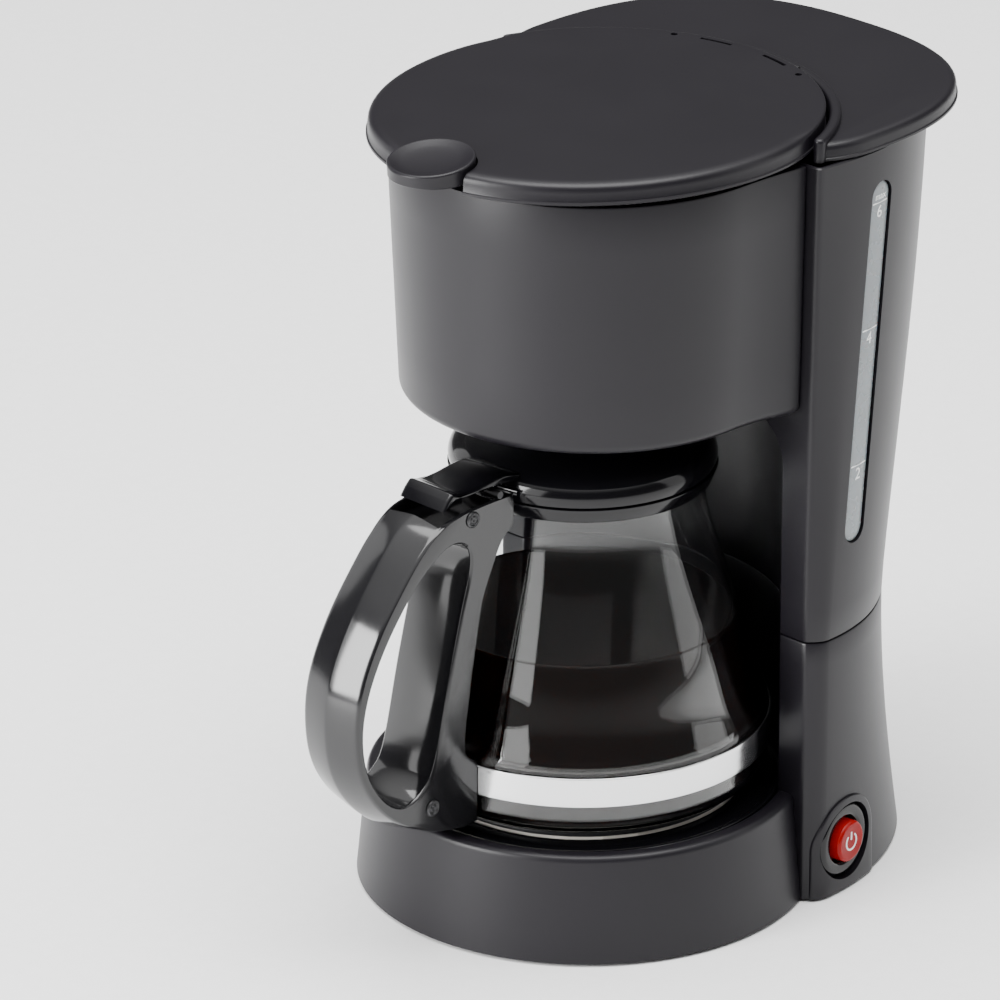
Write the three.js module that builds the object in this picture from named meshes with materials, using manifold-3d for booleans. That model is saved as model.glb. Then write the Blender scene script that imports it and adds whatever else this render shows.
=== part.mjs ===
// Drip coffee maker with a lift-out glass carafe.
// Millimetres, +Z up. Inside this file the carafe's upright axis is x = 0, y = 0 and the front is -Y.
// The finished group is moved along X and Y so that the origin is at the bottom centre of the whole object.
import * as THREE from 'three';
import { mergeVertices } from 'three/addons/utils/BufferGeometryUtils.js';
import Module from 'manifold-3d';

const wasm = await Module();
wasm.setup();

// ---------------------------------------------------------------- driving dimensions
const gap = 0.3;                       // between pieces that touch
const wall = 2.5;                      // moulded shell thickness
const roundSegments = 28;              // facets round the large turned pieces
const smallSegments = 12;              // facets round pins, screws and tubes

const footHeight = 1.7;
const shellBottomZ = 0.6;
const basePlateTopZ = 4;
const screw = { shaftRadius: 1.4, boreRadius: 1.7, holeRadius: 1.9, headRadius: 3.2, bossRadius: 4 };
const base = { centreY: 1.6, bottomRadius: 70.6, topRadius: 67, rimZ: 35, deckZ: 31.5 };
const plateTopZ = 35.7;                // the carafe stands here
const plate = { radius: 49.5, bottomZ: 34 };
const recessRadius = 62;               // hollow in the tower that takes the carafe
const recessTopZ = 158;

const tower = {
  frontY: 29, frontHalfWidth: 65.2, frontHalfWidthRise: 2.7, halfWidth: 69.1, seamZ: 86.9, topZ: 240,
  waistZ: 86, waistBackY: 100.2, widestY: 36, widestYRise: 12.5,
};
const head = {
  centreY: 4, bottomRadius: 58.2, topRadius: 61.5, bottomSideX: 62, topSideX: 63.4,
  bottomZ: 160.6, topZ: 240, backRadius: 55,
};
const lid = { centreY: 8.2, halfWidth: 66.2, frontLength: 74.5, bottomZ: 242.9, topZ: 249.4, plate: 2.6 };
const lidHinge = { y: 72, z: 248, pinRadius: 0.8, socketRadius: 1.1, pinInner: 8, pinOuter: 20 };
const cover = {
  centreY: 52.7, halfWidth: 70, backLength: 71.5, frontLength: 40, power: 2.5,
  bottomZ: 240.4, topZ: 245.8, beadZ: 247.8, frontY: 29.4,
};
const tab = { y: -63.7, radius: 13.2, bottomZ: 245.5, topZ: 252.6 };

const gauge = { width: 9.8, bottom: [46.9, 120.5], top: [56.4, 224.5] };   // [y, z] of the end centres
const sideSwitch = {
  y: 45.5, z: 16.6, turn: 7.9, bezelRadius: 12.1, rockerRadius: 6.6, archRadius: 14.7, archLift: 0.9,
};
const glandHeight = 18;
const gland = { neckRadius: 4.8, flangeRadius: 7.5, flange: 2.2, boreRadius: 3.3 };

const glassBottomZ = 36;
const band = { radius: 58, thickness: 0.7, bottomZ: 47.5, topZ: 57 };
const collar = { radius: 41.1, bottomZ: 132.5, topZ: 137.2 };
const carafeLid = { bottomZ: 137.5, topZ: 149.2, pivotY: -47, pivotZ: 142.5, pinRadius: 1.3 };
const lever = { halfWidth: 9.3, lipY: -64.6, lipTopZ: 147.9 };
const handleHalfWidth = 11.5;

const basket = { topRadius: 50.5, floorRadius: 24, rimZ: 229, floorZ: 170, wall: 1.6, nozzleRadius: 8.5 };
const valve = { tipZ: 151.8, travel: 4, stemRadius: 2.2, headRadius: 7.4, sealThickness: 1.1 };
const nozzle = { bottomZ: 158, boreRadius: 5.6, ledgeRadius: 3.3, ledgeZ: 163.2 };

const tank = { bottomZ: 92, topZ: 221, wall: 1.6, leftX: -49, outletX: 25, outletY: 80 };
const riser = { x: -58, y: 47, radius: 4 };
const boiler = { radius: 30, tubeRadius: 4.2, z: 17.6, legX: 22, endY: 46 };
const heater = { bottomZ: 22.4, topZ: 33.3, outerRadius: 38, innerRadius: 23 };

// ---------------------------------------------------------------- materials
const look = (color, roughness, metalness = 0) =>
  new THREE.MeshStandardMaterial({ color, roughness, metalness });
const satinBlack = look(0x232324, 0.55);
const glossBlack = look(0x0c0c0e, 0.12);
const rubberBlack = look(0x1a1a1a, 0.85);
const silicone = look(0xcfcac0, 0.6);
const steel = look(0xd4d5d6, 0.22, 1);
const aluminium = look(0xb4b6b8, 0.4, 1);
const darkMetal = look(0x2b2b2c, 0.4, 0.6);
const clearGlass = look(0xdfe6e6, 0.05);
const gaugeGrey = look(0xa9adaf, 0.35);
const rockerRed = look(0xc81e22, 0.25);
const whitePlastic = look(0xd8d6cf, 0.5);

// ---------------------------------------------------------------- solids
function outward(geometry) {
  const bare = new THREE.BufferGeometry();
  bare.setAttribute('position', geometry.getAttribute('position'));
  if (geometry.index) bare.setIndex(geometry.index);
  const merged = mergeVertices(bare, 1e-4);
  const p = merged.getAttribute('position');
  const index = Array.from(merged.index.array);
  const [a, b, c] = [new THREE.Vector3(), new THREE.Vector3(), new THREE.Vector3()];
  let volume = 0;
  for (let i = 0; i < index.length; i += 3) {
    a.fromBufferAttribute(p, index[i]);
    b.fromBufferAttribute(p, index[i + 1]);
    c.fromBufferAttribute(p, index[i + 2]);
    volume += a.dot(b.cross(c));
  }
  if (volume < 0) index.reverse();
  const kept = [];
  for (let i = 0; i < index.length; i += 3) {
    const [u, v, w] = index.slice(i, i + 3);
    if (u !== v && v !== w && w !== u) kept.push(u, v, w);
  }
  merged.setIndex(kept);
  return merged;
}

function solid(geometry) {
  const closed = outward(geometry);
  return new wasm.Manifold(new wasm.Mesh({
    numProp: 3,
    vertProperties: new Float32Array(closed.getAttribute('position').array),
    triVerts: new Uint32Array(closed.index.array),
  }));
}

function geometryOf(manifold) {
  const mesh = manifold.getMesh();
  const geometry = new THREE.BufferGeometry();
  geometry.setAttribute('position', new THREE.BufferAttribute(mesh.vertProperties, 3));
  geometry.setIndex(new THREE.BufferAttribute(mesh.triVerts, 1));
  geometry.computeVertexNormals();
  return geometry;
}

const union = (...parts) => parts.reduce((sum, part) => sum.add(part));
const cut = (body, ...tools) => tools.reduce((rest, tool) => rest.subtract(tool), body);

// A closed [radius, z] profile turned about the upright line through (x, y).
function turned(profile, { x = 0, y = 0, segments = roundSegments } = {}) {
  const points = profile.map(([r, z]) => new THREE.Vector2(r, z));
  const closesOnAxis = profile[0][0] === 0 && profile.at(-1)[0] === 0;
  if (!closesOnAxis) points.push(points[0].clone());
  return solid(new THREE.LatheGeometry(points, segments).rotateX(Math.PI / 2).translate(x, y, 0));
}

function disc(radius, bottomZ, topZ, { x = 0, y = 0, segments = roundSegments } = {}) {
  return turned([[0, bottomZ], [radius, bottomZ], [radius, topZ], [0, topZ]], { x, y, segments });
}

function ring(inner, outer, bottomZ, topZ, place) {
  return turned([[inner, bottomZ], [outer, bottomZ], [outer, topZ], [inner, topZ]], place);
}

function box(x0, x1, y0, y1, z0, z1) {
  const geometry = new THREE.BoxGeometry(x1 - x0, y1 - y0, z1 - z0);
  return solid(geometry.translate((x0 + x1) / 2, (y0 + y1) / 2, (z0 + z1) / 2));
}

// A rod between two points, or a rod with a bore when boreRadius is given.
function rod(from, to, radius, { boreRadius = 0, segments = smallSegments } = {}) {
  const [start, end] = [new THREE.Vector3(...from), new THREE.Vector3(...to)];
  const direction = end.clone().sub(start);
  const turn = new THREE.Quaternion().setFromUnitVectors(
    new THREE.Vector3(0, 1, 0), direction.clone().normalize());
  const middle = start.clone().add(end).multiplyScalar(0.5);
  const make = (r, extra) => solid(new THREE.CylinderGeometry(r, r, direction.length() + extra, segments)
    .applyQuaternion(turn).translate(middle.x, middle.y, middle.z));
  return boreRadius ? cut(make(radius, 0), make(boreRadius, 2)) : make(radius, 0);
}

// A round tube along a smooth curve.
function tube(points, radius, { boreRadius = 0, steps = 16, sides = 8 } = {}) {
  const knots = points.map((p) => new THREE.Vector3(...p));
  const curve = new THREE.CatmullRomCurve3(knots, false, 'centripetal');
  const make = (r) => {
    const section = new THREE.Shape();
    section.absarc(0, 0, r, 0, 2 * Math.PI);
    return solid(new THREE.ExtrudeGeometry(section,
      { extrudePath: curve, steps, curveSegments: sides / 2 }));
  };
  return boreRadius ? cut(make(radius), make(boreRadius)) : make(radius);
}

function prism(outline, z0, z1) {
  const shape = new THREE.Shape(outline.map(([x, y]) => new THREE.Vector2(x, y)));
  const geometry = new THREE.ExtrudeGeometry(shape, { depth: z1 - z0, bevelEnabled: false });
  return solid(geometry.translate(0, 0, z0));
}

// Outlines with the same number of points, one above the other, skinned and capped.
function loft(levels) {
  const count = levels[0].outline.length;
  const positions = levels.flatMap(({ outline, z }) => outline.flatMap(([x, y]) => [x, y, z]));
  const index = [];
  for (let level = 0; level + 1 < levels.length; level++) {
    for (let i = 0; i < count; i++) {
      const j = (i + 1) % count;
      const [a, b] = [level * count + i, level * count + j];
      index.push(a, b, b + count, a, b + count, a + count);
    }
  }
  const cap = (level, flip) => {
    const flat = levels[level].outline.map(([x, y]) => new THREE.Vector2(x, y));
    for (const [a, b, c] of THREE.ShapeUtils.triangulateShape(flat, [])) {
      const shift = level * count;
      index.push(...(flip ? [c + shift, b + shift, a + shift] : [a + shift, b + shift, c + shift]));
    }
  };
  cap(0, true);
  cap(levels.length - 1, false);
  const geometry = new THREE.BufferGeometry();
  geometry.setAttribute('position', new THREE.Float32BufferAttribute(positions, 3));
  geometry.setIndex(index);
  return solid(geometry);
}

// A profile drawn in the Y-Z plane, made halfWidth thick to both sides of x = 0.
function sidePlate(profile, halfWidth, bevel = 0) {
  const shape = new THREE.Shape(profile.map(([y, z]) => new THREE.Vector2(y, z)));
  const geometry = new THREE.ExtrudeGeometry(shape, {
    depth: 2 * (halfWidth - bevel), bevelEnabled: bevel > 0, bevelThickness: bevel,
    bevelSize: bevel, bevelOffset: -bevel, bevelSegments: 1,
  });
  geometry.translate(0, 0, bevel - halfWidth);
  geometry.applyMatrix4(new THREE.Matrix4().set(0, 0, 1, 0, 1, 0, 0, 0, 0, 1, 0, 0, 0, 0, 0, 1));
  return solid(geometry);
}

const smooth = (points, count, closed = false) =>
  new THREE.CatmullRomCurve3(points.map(([a, b]) => new THREE.Vector3(a, b, 0)), closed, 'centripetal')
    .getSpacedPoints(count).slice(0, closed ? -1 : undefined).map((p) => [p.x, p.y]);

// ---------------------------------------------------------------- outlines
// The tower is waisted: its back swells out below the waist, and above it until it stands upright.
function towerBackY(z) {
  const rise = z - tower.waistZ;
  if (rise < 0) return tower.waistBackY + 0.3 * (Math.hypot(rise, 53) - 53);
  const above = Math.hypot(rise, 10) - 10;
  return tower.waistBackY + (0.17 * above) / (1 + (above / 120) ** 4) ** 0.25;
}

const shareAboveSeam = (z) => Math.max(0, (z - tower.seamZ) / (tower.topZ - tower.seamZ));
const towerWidestY = (z) => tower.widestY + tower.widestYRise * shareAboveSeam(z);

function towerOutline(z, inset = 0) {
  const widestY = towerWidestY(z);
  const a = tower.halfWidth - inset;
  const b = towerBackY(z) - widestY - inset;
  const frontY = tower.frontY + inset;
  const frontX = tower.frontHalfWidth + tower.frontHalfWidthRise * shareAboveSeam(z) - inset;
  const side = [];
  for (let i = 0; i <= 1; i++) {
    const u = 1 - i / 2;
    side.push([a - (a - frontX) * u * u, widestY - (widestY - frontY) * u]);
  }
  for (let i = 0; i < 8; i++) {
    const angle = (i / 16) * Math.PI;
    side.push([a * Math.cos(angle), widestY + b * Math.sin(angle)]);
  }
  const mirrored = side.map(([x, y]) => [-x, y]).reverse();
  return [...side, [0, widestY + b], ...mirrored];
}

function towerSolid(z0, z1, inset = 0) {
  const count = Math.max(2, Math.round((z1 - z0) / 26));
  const levels = [];
  for (let i = 0; i <= count; i++) {
    const z = z0 + ((z1 - z0) * i) / count;
    levels.push({ z, outline: towerOutline(z, inset) });
  }
  return loft(levels);
}

// Half round in front, flaring sides, and a round back that stands in the tower.
function headOutline(radius, backRadius, backY, sideX) {
  const outline = [];
  for (let i = 0; i <= 20; i++) {
    const angle = Math.PI * (1 + i / 20);
    outline.push([radius * Math.cos(angle), head.centreY + radius * Math.sin(angle)]);
  }
  const flare = [0.35, 0.7, 1].map((u) => [radius + (sideX - radius) * u * u,
    head.centreY + (backY - head.centreY) * u]);
  outline.push(...flare);
  const corner = Math.asin(backY / backRadius);
  for (let i = 0; i <= 12; i++) {
    const angle = corner + ((Math.PI - 2 * corner) * i) / 12;
    outline.push([backRadius * Math.cos(angle), backRadius * Math.sin(angle)]);
  }
  return [...outline, ...flare.map(([x, y]) => [-x, y]).reverse()];
}

const headLevel = (z, atBottom, atTop) =>
  THREE.MathUtils.mapLinear(z, head.bottomZ, head.topZ, atBottom, atTop);
const headRadius = (z) => headLevel(z, head.bottomRadius, head.topRadius);
const headSideX = (z) => headLevel(z, head.bottomSideX, head.topSideX);

// Long oval in front of its widest line, a circle behind it.
function lidOutline(offset) {
  const outline = [];
  for (let i = 0; i < 40; i++) {
    const angle = (2 * Math.PI * i) / 40;
    const length = (Math.sin(angle) < 0 ? lid.frontLength : lid.halfWidth) + offset;
    outline.push([(lid.halfWidth + offset) * Math.cos(angle), lid.centreY + length * Math.sin(angle)]);
  }
  return outline;
}

// A squarish oval, longer behind its widest line than in front of it.
function coverOutline(offset) {
  const bulge = (value) => Math.sign(value) * Math.abs(value) ** (2 / cover.power);
  const outline = [];
  for (let i = 0; i < 48; i++) {
    const angle = (2 * Math.PI * i) / 48;
    const length = (Math.sin(angle) < 0 ? cover.frontLength : cover.backLength) + offset;
    outline.push([(cover.halfWidth + offset) * bulge(Math.cos(angle)),
      cover.centreY + length * bulge(Math.sin(angle))]);
  }
  return outline;
}

// ---------------------------------------------------------------- scene
const coffeeMaker = new THREE.Group();

function piece(name, manifold, material) {
  const mesh = new THREE.Mesh(geometryOf(manifold), material);
  mesh.name = name;
  coffeeMaker.add(mesh);
}

// ---------------------------------------------------------------- switch frame
// Everything of the switch is built about X and then turned to the tower's side.
function onSide(manifold) {
  const angle = THREE.MathUtils.degToRad(sideSwitch.turn);
  const backY = towerBackY(sideSwitch.z);
  const reach = (sideSwitch.y - tower.widestY) / (backY - tower.widestY);
  const x = tower.halfWidth * Math.sqrt(1 - reach * reach);
  const matrix = new THREE.Matrix4().makeRotationZ(angle).setPosition(x, sideSwitch.y, sideSwitch.z);
  return solid(geometryOf(manifold).applyMatrix4(matrix));
}

const sideDisc = (radius, x0, x1, segments = 24) => rod([x0, 0, 0], [x1, 0, 0], radius, { segments });

function archPanel(grow, x0, x1) {
  const radius = sideSwitch.archRadius + grow;
  const legs = box(x0, x1, -radius, radius, shellBottomZ - sideSwitch.z, 0);
  return union(sideDisc(radius, x0, x1), legs);
}

const bezelDepth = [-2.4, -0.2];
const switchRecess = onSide(union(
  sideDisc(sideSwitch.bezelRadius + gap, bezelDepth[0] - gap, 5),
  sideDisc(sideSwitch.bezelRadius - 1.6 + gap, -12, 5)));

// ---------------------------------------------------------------- screws shared by several pieces
const baseScrews = [[-44, -38], [44, -38], [-46, 72], [46, 72]];
const feetAt = {
  front_left: [-36, -46], front_right: [36, -46], rear_left: [-34, 84], rear_right: [34, 84],
};

// ---------------------------------------------------------------- base
function baseShell() {
  const { centreY, bottomRadius, topRadius, rimZ, deckZ } = base;
  const round = turned([[0, shellBottomZ], [bottomRadius, shellBottomZ], [topRadius + 0.2, rimZ - 1.6],
    [topRadius - 0.3, rimZ - 0.4], [topRadius - 1.4, rimZ], [0, rimZ]], { y: centreY, segments: 32 });
  const arch = onSide(archPanel(0, -8, 8)).intersect(towerSolid(shellBottomZ, 60, -sideSwitch.archLift));
  const outer = union(round, towerSolid(shellBottomZ, tower.seamZ - gap), arch);
  const recess = disc(recessRadius, deckZ, 200, { segments: 32 });
  const roundInside = turned([[0, -5], [bottomRadius - wall, -5], [bottomRadius - wall, shellBottomZ],
    [topRadius - wall, deckZ - wall], [0, deckZ - wall]], { y: centreY, segments: 32 });
  const towerInside = cut(union(towerSolid(-5, 40, wall), towerSolid(39, 100, wall)),
    disc(recessRadius + wall, deckZ - wall, 200, { segments: 32 }));
  const bossZ = basePlateTopZ + gap;
  const rearBossTopZ = 40;
  const bosses = baseScrews.map(([x, y]) =>
    disc(screw.bossRadius, bossZ, y > 0 ? rearBossTopZ : deckZ - 1, { x, y, segments: 14 }));
  const bores = baseScrews.map(([x, y]) => disc(screw.boreRadius, bossZ - 1, 16, { x, y, segments: 12 }));
  const bossTies = baseScrews.filter(([, y]) => y > 0)
    .map(([x, y]) => box(x - 1.2, x + 1.2, y + 3, y + 25, bossZ, rearBossTopZ)
      .intersect(towerSolid(2, 60, 1)));
  const shell = cut(outer, recess, roundInside, towerInside);
  const plateHole = disc(plate.radius + 1, 20, 40);
  const glandHole = rod([0, 90, glandHeight], [0, 120, glandHeight], gland.neckRadius + gap);
  return cut(union(shell, ...bosses, ...bossTies), plateHole, switchRecess, glandHole, ...bores);
}
piece('base_shell', baseShell(), satinBlack);

function basePlate() {
  const [z0, z1] = [footHeight + gap, basePlateTopZ];
  const round = disc(base.bottomRadius - wall - 1, z0, z1, { y: base.centreY });
  const rear = prism(towerOutline(basePlateTopZ, wall + 0.6), z0, z1);
  const slots = [-16, -8, 0, 8, 16].map((x) => box(x - 1.5, x + 1.5, -20, 20, 0, 8));
  const holes = baseScrews.map(([x, y]) => disc(screw.holeRadius, 0, 8, { x, y, segments: 12 }));
  const studHole = disc(6, 0, 8, { x: 0, y: 30, segments: 16 });
  return cut(union(round, rear), ...slots, ...holes, studHole);
}
piece('base_plate', basePlate(), satinBlack);

for (const [corner, [x, y]] of Object.entries(feetAt)) {
  const foot = turned([[0, 0], [5.6, 0], [6.4, 0.6], [6.4, footHeight], [0, footHeight]],
    { x, y, segments: 16 });
  piece(`foot_${corner}`, foot, rubberBlack);
}

baseScrews.forEach(([x, y], i) => {
  const { shaftRadius, headRadius } = screw;
  const turnedScrew = turned([[0, 0.5], [headRadius - 0.6, 0.5], [headRadius, 1.2],
    [headRadius, footHeight], [shaftRadius, footHeight], [shaftRadius, 13], [0, 14]],
  { x, y, segments: 12 });
  piece(`base_screw_${i + 1}`, turnedScrew, darkMetal);
});

piece('plate_surround', turned([[plate.radius + 0.4, base.deckZ + gap],
  [recessRadius - 0.4, base.deckZ + gap], [recessRadius - 0.4, 34.6], [recessRadius - 1.4, 34.6],
  [recessRadius - 3.4, 33.4], [plate.radius + 0.4, 33.4]], { segments: 32 }), glossBlack);
piece('warming_plate', turned([[0, plate.bottomZ], [plate.radius, plate.bottomZ], [plate.radius, 34.9],
  [plate.radius - 0.9, plateTopZ], [0, plateTopZ]]), darkMetal);
piece('plate_seal', ring(45.5, 49.2, base.deckZ + gap, 33.7), silicone);

// ---------------------------------------------------------------- heating
function heaterBlock() {
  const shape = new THREE.Shape();
  const [start, end] = [Math.PI * 0.66, Math.PI * 2.34];
  shape.absarc(0, 0, heater.outerRadius, start, end, false);
  shape.absarc(0, 0, heater.innerRadius, end, start, true);
  shape.closePath();
  return solid(new THREE.ExtrudeGeometry(shape,
    { depth: heater.topZ - heater.bottomZ, bevelEnabled: false, curveSegments: 20 })
    .translate(0, 0, heater.bottomZ));
}
piece('heater_block', heaterBlock(), aluminium);

function boilerTube() {
  const { radius, z, legX, endY } = boiler;
  const points = [[-legX, endY, z]];
  const lead = Math.asin(legX / radius);
  for (let i = 0; i <= 10; i++) {
    const angle = Math.PI / 2 + lead + (i / 10) * (2 * Math.PI - 2 * lead);
    points.push([radius * Math.cos(angle), radius * Math.sin(angle), z]);
  }
  points.push([legX, endY, z]);
  return tube(points, boiler.tubeRadius, { boreRadius: 3, steps: 22 });
}
piece('boiler_tube', boilerTube(), aluminium);

const clampZ = [10.6, 13];
piece('heater_clamp', cut(box(-38, 38, -6, 6, ...clampZ), disc(2.5, 5, 20, { segments: 14 })), steel);
piece('heater_stud', disc(2, 7.4, 33.6, { segments: 14 }), steel);
piece('clamp_nut', turned([[2.3, 8.1], [4.2, 8.1], [4.2, 10.3], [2.3, 10.3]], { segments: 6 }), steel);
piece('thermostat', union(disc(7.5, 14.5, 22, { y: -12.5, segments: 20 }),
  box(-10.5, 10.5, -16, -9, 20.6, 22)), aluminium);
piece('thermal_fuse', rod([-16, 14, 14], [16, 14, 14], 2.2), whitePlastic);

// ---------------------------------------------------------------- water path
function tankOutline(z, inset) {
  return towerOutline(z, wall + 1 + inset);
}

function tankSolid(inset, z0, z1) {
  const levels = [];
  const count = 7;
  for (let i = 0; i <= count; i++) {
    const z = z0 + ((z1 - z0) * i) / count;
    levels.push({ z, outline: tankOutline(z, inset) });
  }
  const clearOfRecess = disc(recessRadius + wall + 1 + inset, 0, recessTopZ + wall + 1 + inset);
  const clearOfHead = disc(head.backRadius + wall + 1 + inset, 100, 300);
  const clearOfRiser = box(-90, tank.leftX + inset, 0, 200, 0, 300);
  return cut(loft(levels), clearOfRecess, clearOfHead, clearOfRiser);
}

function waterTank() {
  const { outletX: x, outletY: y, bottomZ } = tank;
  const outer = tankSolid(0, bottomZ, tank.topZ);
  const inner = tankSolid(tank.wall, bottomZ + tank.wall, tank.topZ + 20);
  const spigot = disc(4.6, 82, bottomZ + 1, { x, y, segments: smallSegments });
  const bore = disc(3.2, 80, bottomZ + 5, { x, y, segments: smallSegments });
  return cut(union(cut(outer, inner), spigot), bore);
}
piece('water_tank', waterTank(), satinBlack);

const checkValve = { bottomZ: 66, topZ: 81.6, ballZ: 70.2 };
piece('check_valve', turned([[2.2, checkValve.bottomZ], [6, checkValve.bottomZ], [6, checkValve.topZ],
  [2.2, checkValve.topZ], [2.2, 77.4], [4.2, 76], [4.2, 69], [2.2, 67.6]],
{ x: tank.outletX, y: tank.outletY, segments: smallSegments }), whitePlastic);
const ball = new THREE.SphereGeometry(3, 14, 10).rotateX(Math.PI / 2)
  .translate(tank.outletX, tank.outletY, checkValve.ballZ);
piece('check_ball', solid(ball), steel);

piece('inlet_tube', tube([[tank.outletX, tank.outletY, checkValve.bottomZ - gap],
  [tank.outletX, tank.outletY, 50], [24, 72, 26], [boiler.legX, 58, boiler.z],
  [boiler.legX, boiler.endY + gap, boiler.z]], 4.4, { boreRadius: 3, steps: 12 }), silicone);

piece('riser_tube', tube([[-boiler.legX, boiler.endY + gap, boiler.z], [-boiler.legX, 54, boiler.z],
  [-42, 60, 20], [riser.x, 54, 34], [riser.x, riser.y, 60], [riser.x, riser.y, 130],
  [riser.x, riser.y, 205], [-55, 46, 222]], riser.radius, { boreRadius: 2.8, steps: 20 }), silicone);

piece('shower_arm', tube([[-54.8, 45.9, 223.2], [-54.1, 45.7, 227], [-49, 42, 232.6], [-38, 33, 235.5],
  [-20, 17, 236], [-4, 3, 236], [0, 0, 231.5]], 3.6, { boreRadius: 2.4, steps: 12 }), whitePlastic);

// ---------------------------------------------------------------- switch
piece('switch_bezel', onSide(cut(
  union(sideDisc(sideSwitch.bezelRadius, ...bezelDepth), sideDisc(sideSwitch.bezelRadius - 1.6, -9, -1)),
  sideDisc(sideSwitch.rockerRadius + 0.9, -6, 5),
  sideDisc(sideSwitch.rockerRadius - 1, -20, 5))), glossBlack);
piece('switch_body', onSide(box(-21, -9.4, -8, 8, -9.5, 9.5)), whitePlastic);

function rocker() {
  const r = sideSwitch.rockerRadius;
  const geometry = new THREE.LatheGeometry([[0, -4.6], [r - 0.8, -4.6], [r, -3], [r, 1.4], [r - 0.5, 2.1],
    [r - 2, 2.5], [0, 2.6]].map(([a, b]) => new THREE.Vector2(a, b)), 20);
  geometry.rotateZ(-Math.PI / 2);
  return onSide(solid(geometry));
}
piece('rocker_button', rocker(), rockerRed);

// ---------------------------------------------------------------- tower
// The shower arm crosses from the tower to the brew head through this notch.
const armNotch = prism([[-56, 40.6], [-34, 24.1], [-27.4, 32.9], [-49.4, 49.4]], 229.6, 260);

function gaugePrism(width, x0, x1) {
  const [[y0, z0], [y1, z1]] = [gauge.bottom, gauge.top];
  const lean = Math.atan2(y1 - y0, z1 - z0);
  const outline = [];
  for (let i = 0; i <= 20; i++) {
    const upper = i <= 10;
    const angle = -lean + Math.PI * ((upper ? i : i - 1) / 9 - (upper && i === 10 ? 1 / 9 : 0));
    const [cy, cz] = upper ? [y1, z1] : [y0, z0];
    outline.push([cy + (width / 2) * Math.cos(angle), cz + (width / 2) * Math.sin(angle)]);
  }
  const shape = new THREE.Shape(outline.map(([y, z]) => new THREE.Vector2(y, z)));
  const geometry = new THREE.ExtrudeGeometry(shape, { depth: x1 - x0, bevelEnabled: false });
  geometry.translate(0, 0, x0);
  geometry.applyMatrix4(new THREE.Matrix4().set(0, 0, 1, 0, 1, 0, 0, 0, 0, 1, 0, 0, 0, 0, 0, 1));
  return solid(geometry);
}

function recessTool(radius, topZ) {
  return turned([[0, 0], [radius, 0], [radius, topZ - 16], [radius - 3, topZ - 7], [radius - 9, topZ - 1.5],
    [radius - 16, topZ], [0, topZ]], { segments: 32 });
}

function towerShell() {
  const outer = towerSolid(tower.seamZ, tower.topZ);
  const inner = cut(towerSolid(tower.seamZ - 6, tower.topZ + 6, wall),
    recessTool(recessRadius + wall, recessTopZ + wall), disc(head.backRadius + wall, recessTopZ, 300));
  const headChamber = disc(head.backRadius + 2 * gap, recessTopZ - 1, 300);
  return cut(outer, recessTool(recessRadius, recessTopZ), headChamber, inner, armNotch,
    gaugePrism(gauge.width, 50, 90));
}
piece('tower_shell', towerShell(), satinBlack);

piece('water_gauge', cut(towerSolid(100, 239, 0.5), towerSolid(90, 250, wall + 0.6))
  .intersect(gaugePrism(gauge.width - 2 * gap, 60, 90)), gaugeGrey);

function cordGland() {
  const backY = towerBackY(glandHeight);
  const [inside, face] = [backY - 7, towerBackY(glandHeight - 8) + gap];
  const outside = face + gland.flange;
  return cut(union(rod([0, inside, glandHeight], [0, outside, glandHeight], gland.neckRadius),
    rod([0, face, glandHeight], [0, outside, glandHeight], gland.flangeRadius)),
  rod([0, inside - 1, glandHeight], [0, outside + 1, glandHeight], gland.boreRadius));
}
piece('cord_gland', cordGland(), rubberBlack);

// ---------------------------------------------------------------- brew head
function brewHeadShell() {
  const backY = tower.frontY - gap;
  const level = (z, inset, backInset, frontInset) => ({
    z,
    outline: headOutline(headRadius(z) - inset, head.backRadius - backInset, backY - frontInset,
      headSideX(z) - inset),
  });
  const outerLevels = [[0, 2.6], [0.8, 1.1], [2, 0.35], [3.6, 0]]
    .map(([rise, inset]) => level(head.bottomZ + rise, inset, gap, 0));
  outerLevels.push(level(head.topZ, 0, gap, 0));
  const innerLevels = [head.bottomZ + wall, head.topZ + 5].map((z) => level(z, wall + 0.4, wall, wall));
  const outlet = disc(basket.nozzleRadius + 3, 150, 180, { segments: 32 });
  return cut(loft(outerLevels), loft(innerLevels), outlet, armNotch);
}
piece('brew_head_shell', brewHeadShell(), satinBlack);

function filterBasket() {
  const { topRadius, floorRadius, rimZ, floorZ, wall: t, nozzleRadius } = basket;
  return turned([
    [nozzle.boreRadius, nozzle.bottomZ], [nozzleRadius, nozzle.bottomZ], [nozzleRadius, floorZ],
    [floorRadius, floorZ], [topRadius - 3, rimZ - 4], [topRadius - 3, rimZ - 1.6],
    [topRadius, rimZ - 1.6], [topRadius, rimZ],
    [topRadius - 3 - t, rimZ], [topRadius - 3 - t, rimZ - 4], [floorRadius - 1.2, floorZ + t],
    [nozzle.boreRadius, floorZ + t],
    [nozzle.boreRadius, nozzle.ledgeZ + 1.5], [nozzle.ledgeRadius, nozzle.ledgeZ + 1.5],
    [nozzle.ledgeRadius, nozzle.ledgeZ], [nozzle.boreRadius, nozzle.ledgeZ]]);
}
piece('filter_basket', filterBasket(), satinBlack);

const meshFilterZ = basket.floorZ + 9;
piece('mesh_filter', turned([[0, meshFilterZ], [24.6, meshFilterZ], [43.2, 221], [45.3, 225], [45.3, 226.6],
  [44, 226.6], [42, 221], [23.6, meshFilterZ + 1.2], [0, meshFilterZ + 1.2]]), darkMetal);

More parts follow.
